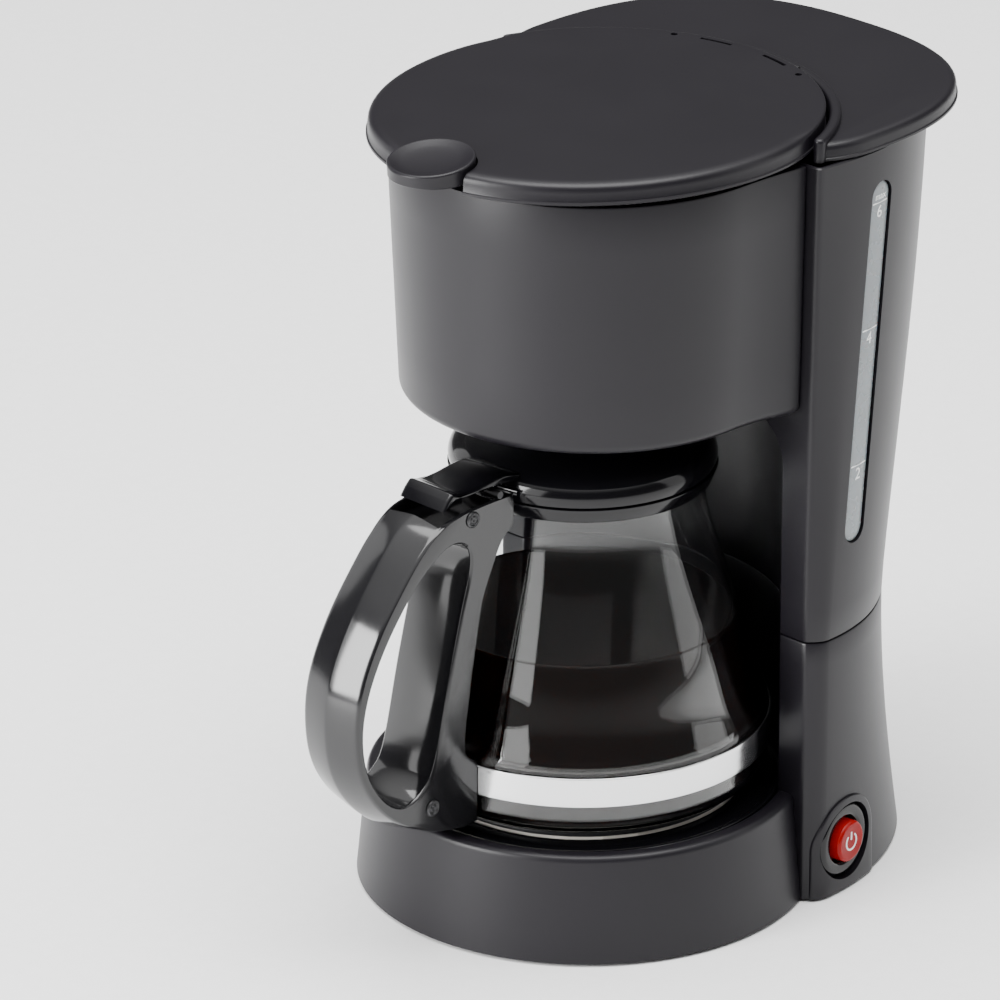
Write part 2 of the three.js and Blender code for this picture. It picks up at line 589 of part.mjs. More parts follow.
// With the carafe in, the valve is lifted by its travel; without it the seal drops onto the basket floor.
const sealZ = basket.floorZ + basket.wall + gap + valve.travel;
const sealTopZ = sealZ + valve.sealThickness;
piece('valve_seal', ring(valve.stemRadius + gap, valve.headRadius, sealZ, sealTopZ, { segments: 24 }),
  silicone);

function dripValve() {
  const { tipZ, stemRadius, headRadius } = valve;
  const headZ = sealTopZ + gap;
  return turned([[0, tipZ], [4, tipZ], [4.8, tipZ + 0.8], [4.8, tipZ + 2.8], [stemRadius, tipZ + 2.8],
    [stemRadius, headZ], [headRadius - 1.4, headZ], [headRadius - 1.4, headZ + 0.8], [0, headZ + 1.3]],
  { segments: 24 });
}
piece('drip_valve', dripValve(), satinBlack);

function valveSpring() {
  const [z0, z1] = [valve.tipZ + 3.5, nozzle.bottomZ + 4.4];
  const turns = 3;
  const points = [];
  for (let i = 0; i <= turns * 10; i++) {
    const angle = (2 * Math.PI * i) / 10;
    points.push([3.7 * Math.cos(angle), 3.7 * Math.sin(angle), z0 + ((z1 - z0) * i) / (turns * 10)]);
  }
  return tube(points, 0.38, { steps: turns * 10, sides: 6 });
}
piece('valve_spring', valveSpring(), steel);

// ---------------------------------------------------------------- lid and rear cover
const lidSocket = (inner, outer, radius) => union(
  rod([inner, lidHinge.y, lidHinge.z], [outer, lidHinge.y, lidHinge.z], radius, { segments: 12 }),
  rod([-outer, lidHinge.y, lidHinge.z], [-inner, lidHinge.y, lidHinge.z], radius, { segments: 12 }));

function ventSlots() {
  const radius = lid.halfWidth - 3.6;
  const at = (degrees, r = radius) => {
    const angle = THREE.MathUtils.degToRad(90 - degrees);
    return [r * Math.cos(angle), lid.centreY + r * Math.sin(angle)];
  };
  const slots = [[-16, -6], [6, 16]].map(([from, to]) => {
    const outline = [];
    for (let i = 0; i <= 4; i++) outline.push(at(from + ((to - from) * i) / 4, radius - 0.6));
    for (let i = 4; i >= 0; i--) outline.push(at(from + ((to - from) * i) / 4, radius + 0.6));
    return prism(outline, 240, 260);
  });
  const dots = [-24, 24].map((degrees) => {
    const [x, y] = at(degrees);
    return disc(1, 240, 260, { x, y, segments: 10 });
  });
  return [...slots, ...dots];
}

function lidShell() {
  const section = [[-1, lid.bottomZ], [0, lid.bottomZ + 1], [0, lid.topZ - 3], [-0.7, lid.topZ - 1.4],
    [-2, lid.topZ - 0.4], [-4, lid.topZ]];
  const outer = loft(section.map(([offset, z]) => ({ z, outline: lidOutline(offset) })));
  const hollow = loft([lid.bottomZ - 5, lid.topZ - lid.plate]
    .map((z) => ({ z, outline: lidOutline(-4.4) })));
  const rearSkirt = box(-80, 80, 58, 90, 230, lid.topZ - lid.plate);
  const tabNotch = disc(tab.radius + gap, 230, 260, { y: tab.y, segments: 28 });
  return cut(outer, hollow, rearSkirt, tabNotch, ...ventSlots(),
    lidSocket(lidHinge.pinInner - 0.5, 40, lidHinge.socketRadius));
}
piece('lid_shell', lidShell(), satinBlack);

piece('lid_tab', turned([[0, tab.bottomZ], [tab.radius - 0.8, tab.bottomZ], [tab.radius, tab.bottomZ + 0.8],
  [tab.radius, tab.topZ - 0.7], [tab.radius - 0.8, tab.topZ], [tab.radius - 2, tab.topZ - 0.3],
  [tab.radius - 5, tab.topZ - 1.3], [0, tab.topZ - 1.8]], { y: tab.y, segments: 28 }), satinBlack);

function rearCover() {
  const { bottomZ, topZ, beadZ, frontY } = cover;
  const skin = loft([[-1, bottomZ], [0, bottomZ + 1], [0, topZ - 3], [-1.4, topZ - 0.8], [-4, topZ]]
    .map(([offset, z]) => ({ z, outline: coverOutline(offset) })));
  const hollow = prism(coverOutline(-wall - 1), 200, topZ - wall);
  const beadOuter = loft([[4.4, bottomZ], [4.4, beadZ - 1.2], [3.6, beadZ - 0.3], [2.8, beadZ]]
    .map(([offset, z]) => ({ z, outline: lidOutline(offset) })));
  const inner = loft([200, 300].map((z) => ({ z, outline: lidOutline(1.2) })));
  const front = box(-100, 100, -200, frontY, 100, 400);
  const shell = cut(skin, hollow);
  return cut(union(shell, beadOuter), inner, front,
    lidSocket(10, lidHinge.pinOuter + 0.5, lidHinge.socketRadius));
}
piece('rear_cover', rearCover(), satinBlack);

for (const [side, sign] of [['left', -1], ['right', 1]]) {
  piece(`lid_pin_${side}`, rod([sign * lidHinge.pinInner, lidHinge.y, lidHinge.z],
    [sign * lidHinge.pinOuter, lidHinge.y, lidHinge.z], lidHinge.pinRadius, { segments: 12 }), steel);
}

// ---------------------------------------------------------------- carafe
const glassOutside = [[49, 36], [54.5, 38], [57, 42.5], [57, 57.6], [54.6, 64], [50.6, 80.8],
  [43.7, 102.1], [39.4, 115.7], [37.1, 126], [37.6, 136.8]];

function carafeGlass() {
  const glassWall = 2;
  const outside = glassOutside;
  const inside = outside.slice(1).map(([r, z]) => [r - glassWall, z]).reverse();
  inside[0] = [outside.at(-1)[0] - glassWall, outside.at(-1)[1]];
  return turned([[0, glassBottomZ], ...outside, ...inside, [47.5, glassBottomZ + glassWall],
    [0, glassBottomZ + glassWall]]);
}
piece('carafe_glass', carafeGlass(), clearGlass);

piece('carafe_band', ring(band.radius - band.thickness, band.radius, band.bottomZ, band.topZ), steel);

// What the handle keeps clear of: the glass, its band and its collar.
const envelope = turned([[0, 30], [band.radius + gap, 30], [band.radius + gap, 60],
  ...glassOutside.slice(4).map(([r, z]) => [r + 2 * gap, z]), [38.4, collar.bottomZ - 0.6],
  [collar.radius + gap, collar.bottomZ - gap], [collar.radius + gap, 160], [0, 160]]);

function carafeCollar() {
  return turned([[38.2, collar.bottomZ], [collar.radius - 0.6, collar.bottomZ],
    [collar.radius, collar.bottomZ + 0.8], [collar.radius, collar.topZ], [38.2, collar.topZ]]);
}
piece('carafe_collar', carafeCollar(), glossBlack);

// Side view of the handle, [y, z]: a D-shaped loop with a strap that follows the glass.
const handleOutside = smooth([[-41, 141.4], [-52, 141.6], [-64, 141.2], [-72, 140.2], [-80, 135.6],
  [-89, 126.2], [-99.2, 113], [-106.6, 98.6], [-109.2, 84.6], [-107.4, 69.4], [-101, 57], [-90.6, 46.8],
  [-77.6, 40], [-66, 38.2], [-56, 38.6]], 30);
const handleInside = smooth([[-56, 58.6], [-61.6, 64], [-59.8, 81], [-56.6, 99], [-54, 111],
  [-49, 122], [-45.4, 128], [-41, 131]], 14);
const handleHole = smooth([[-65, 132], [-72.4, 130.2], [-83.4, 121.6], [-94.6, 107.6], [-101.8, 93.6],
  [-104.2, 80.4], [-101.6, 67.8], [-94.6, 57.8], [-86.8, 54], [-78.6, 57.4], [-74.2, 65],
  [-68.6, 88], [-63, 109], [-59.4, 121.6], [-60, 128.6]], 28, true);

function carafeHandle() {
  const loop = sidePlate([...handleOutside, ...handleInside], handleHalfWidth, 1.6);
  const hole = sidePlate(handleHole, handleHalfWidth + 5);
  const leverPocket = box(-lever.halfWidth - 1, lever.halfWidth + 1, -71.6, -40, 136.4, 160);
  const pinHole = rod([-20, carafeLid.pivotY, carafeLid.pivotZ], [20, carafeLid.pivotY, carafeLid.pivotZ],
    carafeLid.pinRadius + gap);
  const ears = sidePlate([[-51, 138], [-51, 144.6], [-43, 144.6], [-43, 138]], handleHalfWidth, 0);
  return cut(union(loop, ears), hole, leverPocket, envelope, pinHole);
}
piece('carafe_handle', carafeHandle(), glossBlack);

for (const [name, y, z] of [['upper', -58.7, 138.2], ['lower', -76, 49.6]]) {
  const face = handleHalfWidth + gap;
  piece(`handle_screw_${name}`, rod([face, y, z], [face + 0.8, y, z], 2.6), steel);
}

function carafeLidSolid() {
  const { bottomZ, topZ, pivotY, pivotZ, pinRadius } = carafeLid;
  const dome = turned([[4, topZ - 2.6], [4, topZ], [22, topZ - 0.6], [35.6, topZ - 3],
    [39.6, topZ - 6.2], [41, topZ - 9.4], [41, bottomZ], [34.6, bottomZ], [34.6, topZ - 7.6],
    [22, topZ - 3.2]]);
  const arm = sidePlate([[-36, 143.4], [lever.lipY + 1.2, 145.4], [-67.6, 141.4], [-69.2, 142.4],
    [lever.lipY, lever.lipTopZ], [-56, 147.6], [-48, 147.4], [-36, 145.6]], lever.halfWidth, 0);
  const hub = rod([-lever.halfWidth, pivotY, pivotZ], [lever.halfWidth, pivotY, pivotZ], 3);
  const pinHole = rod([-20, pivotY, pivotZ], [20, pivotY, pivotZ], pinRadius + 0.1);
  return cut(union(dome, arm, hub), pinHole);
}
piece('carafe_lid', carafeLidSolid(), glossBlack);
piece('carafe_lid_pin', rod([-handleHalfWidth, carafeLid.pivotY, carafeLid.pivotZ],
  [handleHalfWidth, carafeLid.pivotY, carafeLid.pivotZ], carafeLid.pinRadius - 0.1), steel);

// ---------------------------------------------------------------- origin at the bottom centre
const extent = new THREE.Box3().setFromObject(coffeeMaker);
coffeeMaker.position.x = -(extent.min.x + extent.max.x) / 2;
coffeeMaker.position.y = -(extent.min.y + extent.max.y) / 2;

export default coffeeMaker;
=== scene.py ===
"""Drip coffee maker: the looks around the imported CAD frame.

Lengths are in millimetres, with the carafe's upright axis at x = 0, y = 0. metres() turns them into the
frame's own metres.
"""

import math
from types import SimpleNamespace

import bmesh
import bpy
from mathutils import Matrix, Vector


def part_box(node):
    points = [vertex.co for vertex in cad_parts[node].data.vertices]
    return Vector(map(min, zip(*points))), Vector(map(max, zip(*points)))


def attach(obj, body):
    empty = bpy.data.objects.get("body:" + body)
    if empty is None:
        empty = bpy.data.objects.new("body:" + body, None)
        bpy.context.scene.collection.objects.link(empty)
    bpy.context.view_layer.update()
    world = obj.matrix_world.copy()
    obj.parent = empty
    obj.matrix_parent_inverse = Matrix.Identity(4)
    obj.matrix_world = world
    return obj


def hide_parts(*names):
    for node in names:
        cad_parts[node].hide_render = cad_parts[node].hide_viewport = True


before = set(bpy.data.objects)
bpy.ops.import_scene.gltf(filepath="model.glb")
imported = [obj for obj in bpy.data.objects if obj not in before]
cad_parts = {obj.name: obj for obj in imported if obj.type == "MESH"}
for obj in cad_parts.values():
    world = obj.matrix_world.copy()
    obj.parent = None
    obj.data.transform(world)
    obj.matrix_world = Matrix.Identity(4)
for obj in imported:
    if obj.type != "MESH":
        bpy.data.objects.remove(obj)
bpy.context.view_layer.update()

MM = 0.001
TAU = 2 * math.pi
ROUND = 128            # points round a large turned piece
AXIS = 0.5 * (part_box("carafe_band")[0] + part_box("carafe_band")[1])


def metres(point):
    x, y, z = point
    return Vector((x * MM + AXIS.x, y * MM + AXIS.y, z * MM))


def extent(node):
    """The CAD node's box, in millimetres about the carafe's axis."""
    low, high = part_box(node)
    return SimpleNamespace(
        x0=(low.x - AXIS.x) / MM, x1=(high.x - AXIS.x) / MM, y0=(low.y - AXIS.y) / MM,
        y1=(high.y - AXIS.y) / MM, z0=low.z / MM, z1=high.z / MM)


# ---------------------------------------------------------------- sizes
BASE = extent("base_shell")
TOWER = extent("tower_shell")
HEAD = extent("brew_head_shell")
LID = extent("lid_shell")
COVER = extent("rear_cover")
TAB = extent("lid_tab")
BAND = extent("carafe_band")
COLLAR = extent("carafe_collar")
PLATE = extent("warming_plate")
SURROUND = extent("plate_surround")
HANDLE = extent("carafe_handle")
BASKET = extent("filter_basket")
CARAFE_LID = extent("carafe_lid")

WALL = 2.5
FRONT_HALF, FRONT_HALF_RISE = 65.2, 2.7
WAIST_Z, WAIST_BACK = 86, 100.2
WIDEST_Y, WIDEST_RISE = 36, 12.5
BAY_RADIUS, BAY_TOP, BAY_ARCH = 62, 158, 16
CHAMBER_RADIUS = 55.6

BASE_CENTRE, BASE_BOTTOM, BASE_TOP, BASE_RIM, BASE_DECK = 1.6, 70.6, 67, 35, 31.5
WELL_TOP, WELL_BOTTOM = 62.6, 61.85    # radii of the sunk deck round the plate
DECK_UNDER = BASE_DECK - WALL
BAY_FLOOR = 29                         # the bay is open from here upwards
HEAD_CENTRE, HEAD_BOTTOM_RADIUS, HEAD_TOP_RADIUS = 4, 58.2, 61.5
HEAD_BOTTOM_SIDE, HEAD_TOP_SIDE = 62, 63.4
LID_CENTRE, LID_SIDE, LID_FRONT = 8.2, 66.2, 74.5
COVER_CENTRE, COVER_SIDE, COVER_BACK, COVER_FRONT, COVER_POWER = 52.7, 70, 71.5, 40, 2.5
COVER_FLAT_Z = 245.8
BEAD_INNER, BEAD_OUTER = 0.9, 4.4      # outside the lid's outline

SWITCH_TURN = math.radians(7.9)
SWITCH_Y, SWITCH_Z = 45.5, 16.6
GAUGE_BOTTOM, GAUGE_TOP, GAUGE_HALF = Vector((46.9, 120.5)), Vector((56.4, 224.5)), 4.6
MARK_2, MARK_4, MARK_6 = 140.3, 183.0, 222.5
MARK_HALF_HEIGHT, MARK_HALF_WIDTH = 0.22, 3.5
PRINT_DEPTH = 0.66                     # the gauge's print, below the tower's side
COFFEE_Z = 88.6
BASKET_NOZZLE, BASKET_FLOOR = 8.5, 170
VALVE_TIP, VALVE_STEM, SPRING_TOP = 151.8, 2.2, 162.5
PLATE_RADIUS, PLATE_HOLE, SURROUND_RADIUS = 49.5, 50.5, 61.6
TAB_Y, TAB_RISE = 0.5 * (TAB.y0 + TAB.y1), 0.115
LID_DOME = 0.9                         # the lid's middle above its edge
BEZEL_RADIUS, ROCKER_RADIUS = 12.1, 6.6
ARCH_RADIUS, ARCH_LIFT = 14.7, 0.85
LEVER_HALF = 9.3
GLASS_WALL = 2.0
LEVER_POCKET = (-71.6, -40, 136.4, 160)   # y0, y1, z0, z1
HANDLE_SCREWS = (("handle_screw_upper", -58.7, 138.2), ("handle_screw_lower", -76, 49.6))
REARWARD = Matrix.Translation((0, 0, 18)) @ Matrix.Rotation(-math.pi / 2, 4, "X")
SIDEWAYS = Matrix(((0, 0, 1, 0), (1, 0, 0, 0), (0, 1, 0, 0), (0, 0, 0, 1)))


# ---------------------------------------------------------------- mesh tools
def mesh_object(name, points, faces):
    """A new object from points in millimetres, with its faces pointing out."""
    mesh = bpy.data.meshes.new(name)
    mesh.from_pydata([metres(p) for p in points], [], faces)
    obj = bpy.data.objects.new(name, mesh)
    bpy.context.scene.collection.objects.link(obj)
    work = bmesh.new()
    work.from_mesh(mesh)
    bmesh.ops.remove_doubles(work, verts=work.verts, dist=2e-7)
    bmesh.ops.recalc_face_normals(work, faces=work.faces)
    work.to_mesh(mesh)
    work.free()
    return obj


def skin(name, rings, closed=False):
    """A surface through rings of points. A ring of one point is a pole, and open ends are capped."""
    points, starts = [], []
    for ring in rings:
        starts.append(len(points))
        points.extend(ring)
    faces = []
    pairs = [(k, k + 1) for k in range(len(rings) - 1)]
    if closed:
        pairs.append((len(rings) - 1, 0))
    for k, m in pairs:
        a, b, size_a, size_b = starts[k], starts[m], len(rings[k]), len(rings[m])
        for i in range(max(size_a, size_b)):
            j = (i + 1) % max(size_a, size_b)
            if size_a == 1:
                faces.append((a, b + j, b + i))
            elif size_b == 1:
                faces.append((a + i, a + j, b))
            else:
                faces.append((a + i, a + j, b + j, b + i))
    if not closed:
        for start, ring in ((starts[0], rings[0]), (starts[-1], rings[-1])):
            if len(ring) > 2:
                faces.append(tuple(range(start, start + len(ring))))
    return mesh_object(name, points, faces)


def eased(points, steps=4, closed=True):
    """An outline whose corners (a, b, setback) are rounded."""
    out = []
    count = len(points)
    for i, point in enumerate(points):
        here = Vector(point[:2])
        inside = closed or 0 < i < count - 1
        if len(point) == 2 or not inside:
            out.append(tuple(here))
            continue
        before = Vector(points[i - 1][:2]) - here
        after = Vector(points[(i + 1) % count][:2]) - here
        start = here + before.normalized() * min(point[2], 0.45 * before.length)
        end = here + after.normalized() * min(point[2], 0.45 * after.length)
        for k in range(steps + 1):
            t = k / steps
            out.append(tuple(start * (1 - t) ** 2 + here * (2 * t * (1 - t)) + end * (t * t)))
    return out


def spline(points, per_span=5, closed=False):
    """A smooth line through the points."""
    count = len(points)
    vectors = [Vector(p) for p in points]

    def at(i):
        return vectors[i % count] if closed else vectors[min(max(i, 0), count - 1)]

    out = []
    for i in range(count if closed else count - 1):
        p0, p1, p2, p3 = at(i - 1), at(i), at(i + 1), at(i + 2)
        for k in range(per_span):
            t = k / per_span
            out.append(tuple(0.5 * (2 * p1 + (p2 - p0) * t + (2 * p0 - 5 * p1 + 4 * p2 - p3) * t * t
                                    + (3 * p1 - p0 - 3 * p2 + p3) * t ** 3)))
    if not closed:
        out.append(tuple(vectors[-1]))
    return out


def circle(radius, z, centre=(0, 0), count=ROUND):
    if radius < 1e-6:
        return [(centre[0], centre[1], z)]
    angles = [TAU * i / count for i in range(count)]
    return [(centre[0] + radius * math.cos(a), centre[1] + radius * math.sin(a), z) for a in angles]


def lathe(name, profile, centre=(0, 0), count=ROUND, matrix=None):
    """A closed (radius, height) profile turned about the upright line through centre, or about matrix's Z."""
    rings = [circle(r, h, centre, count) for r, h in profile]
    if matrix:
        rings = [[tuple(matrix @ Vector(p)) for p in ring] for ring in rings]
    on_axis = profile[0][0] == 0 and profile[-1][0] == 0
    return skin(name, rings, closed=not on_axis)


def tube(name, path, radius, sides=16):
    """A round bar along a path."""
    path = [Vector(p) for p in path]
    rings = []
    normal = None
    for i, point in enumerate(path):
        ahead = path[min(i + 1, len(path) - 1)] - path[max(i - 1, 0)]
        tangent = ahead.normalized()
        if normal is None:
            normal = tangent.orthogonal().normalized()
        normal = (normal - tangent * normal.dot(tangent)).normalized()
        side = tangent.cross(normal)
        angles = [TAU * k / sides for k in range(sides)]
        rings.append([tuple(point + radius * (normal * math.cos(a) + side * math.sin(a))) for a in angles])
    return skin(name, rings)


def apply_modifiers(obj):
    bpy.context.view_layer.update()
    shown = obj.evaluated_get(bpy.context.evaluated_depsgraph_get())
    mesh = bpy.data.meshes.new_from_object(shown)
    obj.modifiers.clear()
    obj.data = mesh


def boolean(obj, tool, operation):
    modifier = obj.modifiers.new(operation, "BOOLEAN")
    modifier.object = tool
    modifier.operation = operation
    modifier.solver = "EXACT"
    apply_modifiers(obj)
    bpy.data.objects.remove(tool)


def cut(obj, *tools):
    for tool in tools:
        boolean(obj, tool, "DIFFERENCE")
    return obj


def join(obj, *tools):
    for tool in tools:
        boolean(obj, tool, "UNION")
    return obj


def piece(obj, body, slot, material, *nodes, sharp=32):
    """Shades a finished mesh, gives it its material and body, and hides the CAD nodes it stands for."""
    obj.data.materials.clear()
    obj.data.materials.append(material)
    obj.data.polygons.foreach_set("use_smooth", [True] * len(obj.data.polygons))
    obj.data.set_sharp_from_angle(angle=math.radians(sharp))
    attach(obj, body)
    if nodes:
        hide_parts(*nodes)
    return obj


def rounding(radius, steps=5):
    """(inward, along) pairs of a quarter round, from the face it leaves to the wall it meets."""
    angles = [math.pi / 2 * k / steps for k in range(steps + 1)]
    return [(radius * (1 - math.sin(a)), radius * (1 - math.cos(a))) for a in angles]


# ---------------------------------------------------------------- materials
class Nodes:
    """A small helper that builds one material's node tree."""

    def __init__(self, name):
        self.material = bpy.data.materials.new(name)
        self.material.use_nodes = True
        self.tree = self.material.node_tree
        self.shader = self.tree.nodes["Principled BSDF"]

    def add(self, kind, inputs=(), **settings):
        node = self.tree.nodes.new(kind)
        for key, value in settings.items():
            setattr(node, key, value)
        for key, value in dict(inputs).items():
            if isinstance(value, bpy.types.NodeSocket):
                self.tree.links.new(value, node.inputs[key])
            else:
                node.inputs[key].default_value = value
        return node

    def set(self, **values):
        for key, value in values.items():
            socket = self.shader.inputs[key.replace("_", " ")]
            if isinstance(value, bpy.types.NodeSocket):
                self.tree.links.new(value, socket)
            else:
                socket.default_value = value

    def place(self, scale=(1, 1, 1)):
        coordinates = self.add("ShaderNodeTexCoord")
        mapping = self.add("ShaderNodeMapping", {"Vector": coordinates.outputs["Object"], "Scale": scale})
        return mapping.outputs["Vector"]

    def noise(self, scale, detail=3.0, stretch=(1, 1, 1)):
        return self.add("ShaderNodeTexNoise",
                        {"Vector": self.place(stretch), "Scale": scale, "Detail": detail}).outputs["Fac"]

    def between(self, fac, low, high):
        node = self.add("ShaderNodeMapRange", {"Value": fac, "From Min": 0.3, "From Max": 0.7,
                                               "To Min": low, "To Max": high})
        return node.outputs["Result"]

    def blend(self, fac, dark, light):
        node = self.add("ShaderNodeMixRGB", {"Fac": fac, "Color1": (*dark, 1), "Color2": (*light, 1)})
        return node.outputs["Color"]

    def bump(self, height, distance, strength):
        inputs = {"Height": height, "Distance": distance, "Strength": strength}
        return self.add("ShaderNodeBump", inputs).outputs["Normal"]


def moulded_plastic(name, dark, light, roughness, grain=0.00002):
    """Satin plastic with a fine spark-eroded grain."""
    n = Nodes(name)
    cloud = n.between(n.noise(18, 2), 0.0, 1.0)
    fine = n.noise(2600, 2)
    n.set(Base_Color=n.blend(cloud, dark, light),
          Roughness=n.between(n.noise(60, 3), roughness - 0.008, roughness + 0.008),
          Normal=n.bump(fine, grain, 0.55),
          Specular_IOR_Level=0.29)
    return n.material


def polished_plastic(name, color, roughness=0.07, shine=0.42):
    n = Nodes(name)
    smudge = n.between(n.noise(45, 4), roughness, roughness + 0.07)
    n.set(Base_Color=n.blend(n.noise(25, 2), color, tuple(c * 1.35 for c in color)),
          Roughness=smudge, Normal=n.bump(n.noise(30, 2), 0.00006, 0.2),
          Specular_IOR_Level=shine)
    return n.material


def rubber(name, color, roughness=0.8):
    n = Nodes(name)
    n.set(Base_Color=n.blend(n.noise(90, 4), color, tuple(c * 1.5 + 0.004 for c in color)),
          Roughness=n.between(n.noise(300, 3), roughness - 0.08, roughness + 0.05),
          Normal=n.bump(n.noise(1500, 3), 0.00004, 0.6))
    return n.material


def metal(name, color, roughness, stretch=(1, 1, 60), scale=120, depth=0.00001):
    """Metal with fine lines drawn across the stretched direction."""
    n = Nodes(name)
    lines = n.noise(scale, 4, stretch)
    n.set(Base_Color=n.blend(n.noise(35, 2), tuple(c * 0.9 for c in color), color),
          Metallic=1.0, Roughness=n.between(lines, roughness * 0.75, roughness * 1.3),
          Normal=n.bump(lines, depth, 0.5))
    return n.material


def clear_glass():
    n = Nodes("carafe_glass_clear")
    n.set(Base_Color=(0.97, 0.985, 0.98, 1), Transmission_Weight=1.0, IOR=1.47,
          Roughness=n.between(n.noise(20, 2), 0.0, 0.012), Normal=n.bump(n.noise(14, 2), 0.0003, 0.06))
    return n.material


def coffee_liquid():
    n = Nodes("coffee_dark")
    n.set(Base_Color=n.blend(n.noise(25, 3), (0.003, 0.0006, 0.0003), (0.007, 0.0015, 0.0006)),
          Roughness=n.between(n.noise(40, 2), 0.02, 0.05), IOR=1.33, Specular_IOR_Level=0.25)
    return n.material


def gauge_plastic():
    n = Nodes("gauge_grey")
    n.set(Base_Color=n.blend(n.noise(60, 3), (0.17, 0.19, 0.20), (0.21, 0.23, 0.24)),
          Roughness=n.between(n.noise(150, 3), 0.22, 0.32), Normal=n.bump(n.noise(700, 2), 0.00002, 0.4),
          Subsurface_Weight=0.15, Subsurface_Scale=0.004)
    return n.material


def rocker_plastic():
    n = Nodes("rocker_red_translucent_painted_glow")
    # Red translucent plastic; the emission paints a faint red glow onto the cap, though no lamp lights the
    # switch.
    n.set(Base_Color=n.blend(n.noise(400, 3), (0.16, 0.0008, 0.001), (0.24, 0.002, 0.002)),
          Roughness=n.between(n.noise(200, 2), 0.16, 0.24), Specular_IOR_Level=0.15,
          Emission_Color=(0.7, 0.006, 0.006, 1), Emission_Strength=0.08,
          Subsurface_Weight=0.3, Subsurface_Scale=0.003)
    return n.material


def woven_mesh():
    """Steel gauze: two crossed sets of fine waves."""
    n = Nodes("filter_gauze")
    waves = [n.add("ShaderNodeTexWave", {"Vector": n.place(), "Scale": 700.0, "Distortion": 0.0},
                   bands_direction=axis).outputs["Fac"] for axis in ("X", "Z")]
    weave = n.add("ShaderNodeMath", {0: waves[0], 1: waves[1]}, operation="MULTIPLY").outputs[0]
    n.set(Base_Color=n.blend(weave, (0.05, 0.05, 0.05), (0.42, 0.40, 0.38)), Metallic=0.9,
          Roughness=n.between(n.noise(200, 2), 0.3, 0.45), Normal=n.bump(weave, 0.0001, 0.8))
    return n.material


def paint(name, color, roughness=0.4):
    n = Nodes(name)
    n.set(Base_Color=n.blend(n.noise(200, 3), tuple(c * 0.94 for c in color), color),
          Roughness=n.between(n.noise(300, 2), roughness - 0.05, roughness + 0.05))
    return n.material


BLACK = moulded_plastic("casing_satin_black", (0.0048, 0.0040, 0.0060), (0.0062, 0.0053, 0.0075), 0.37)
GLOSS = polished_plastic("gloss_black", (0.0022, 0.0021, 0.0028), shine=0.34)
HANDLE_BLACK = polished_plastic("handle_black", (0.0050, 0.0049, 0.0056), 0.08, 0.55)
DARK_PLASTIC = moulded_plastic("valve_dark_plastic", (0.012, 0.012, 0.013), (0.018, 0.018, 0.019), 0.35)
RUBBER = rubber("foot_rubber", (0.012, 0.012, 0.012))
SILICONE = rubber("silicone_milky", (0.55, 0.52, 0.47), 0.5)
STEEL = metal("brushed_steel", (0.86, 0.865, 0.87), 0.16)
ALUMINIUM = metal("cast_aluminium", (0.60, 0.61, 0.62), 0.42, stretch=(1, 1, 1), scale=500, depth=0.00004)
NONSTICK = moulded_plastic("plate_coating", (0.010, 0.010, 0.011), (0.016, 0.016, 0.017), 0.36, 0.00003)
# Dark steel for the screws; on the lid pins this darkness is painted shade, so that they pass for the shade
# inside the lid's vents.
SCREW = metal("blackened_steel_and_pin_shade", (0.06, 0.06, 0.062), 0.35, stretch=(1, 1, 1), scale=300)
GAUZE = woven_mesh()
GLASS_CLEAR = clear_glass()
COFFEE = coffee_liquid()
GAUGE = gauge_plastic()
PRINT = paint("printed_white", (0.82, 0.82, 0.81))
RED = rocker_plastic()
WHITE = paint("white_plastic", (0.70, 0.68, 0.64), 0.45)


# ---------------------------------------------------------------- outlines
def tower_back(z):
    """The rearmost y at one height: furthest forward at the waist, and leaning back above and below it."""
    rise = z - WAIST_Z
    if rise < 0:
        return WAIST_BACK + 0.3 * (math.hypot(rise, 53) - 53)
    above = math.hypot(rise, 10) - 10
    return WAIST_BACK + 0.17 * above / (1 + (above / 120) ** 4) ** 0.25


def above_seam(z):
    """The height as a share of the upper casing, and 0 below the seam."""
    return max(0.0, (z - TOWER.z0) / (TOWER.z1 - TOWER.z0))


def front_half(z):
    """Half the tower's width at its front face."""
    return FRONT_HALF + FRONT_HALF_RISE * above_seam(z)


def tower_widest(z):
    """The y at which the tower is widest."""
    return WIDEST_Y + WIDEST_RISE * above_seam(z)


def tower_side(y, z):
    """Half the tower's width at that place."""
    widest = tower_widest(z)
    if y > widest:
        return TOWER.x1 * math.sqrt(1 - ((y - widest) / (tower_back(z) - widest)) ** 2)
    return TOWER.x1 - (TOWER.x1 - front_half(z)) * ((widest - y) / (widest - TOWER.y0)) ** 2


def tower_ring(z, inset=0.0, bay=BAY_RADIUS, flat=False, front=None):
    """The tower's plan at one height: outer skin, front strips and the round bay, or a flat front."""
    widest = tower_widest(z)
    a = TOWER.x1 - inset
    b = tower_back(z) - widest - inset
    front = (TOWER.y0 if front is None else front) + inset
    front_x = front_half(z) - inset
    bay = bay + inset
    side = []
    for k in range(1, 8):
        u = 1 - k / 8
        side.append((a - (a - front_x) * u * u, widest - (widest - front) * u))
    for k in range(40):
        angle = math.pi / 2 * k / 40
        side.append((a * math.cos(angle), widest + b * math.sin(angle)))
    mirrored = [(-x, y) for x, y in reversed(side)]
    edge = math.asin(min(1.0, abs(front) / bay))
    arc = [math.pi - edge - (math.pi - 2 * edge) * k / 56 for k in range(57)]
    across = [(bay * math.cos(angle), front if flat else bay * math.sin(angle)) for angle in arc]
    across[0] = (*across[0], 0.9)
    across[-1] = (*across[-1], 0.9)
    plan = [(front_x, front, 1.8), *side, (0, widest + b), *mirrored, (-front_x, front, 1.8), *across]
    return [(x, y, z) for x, y in eased(plan)]


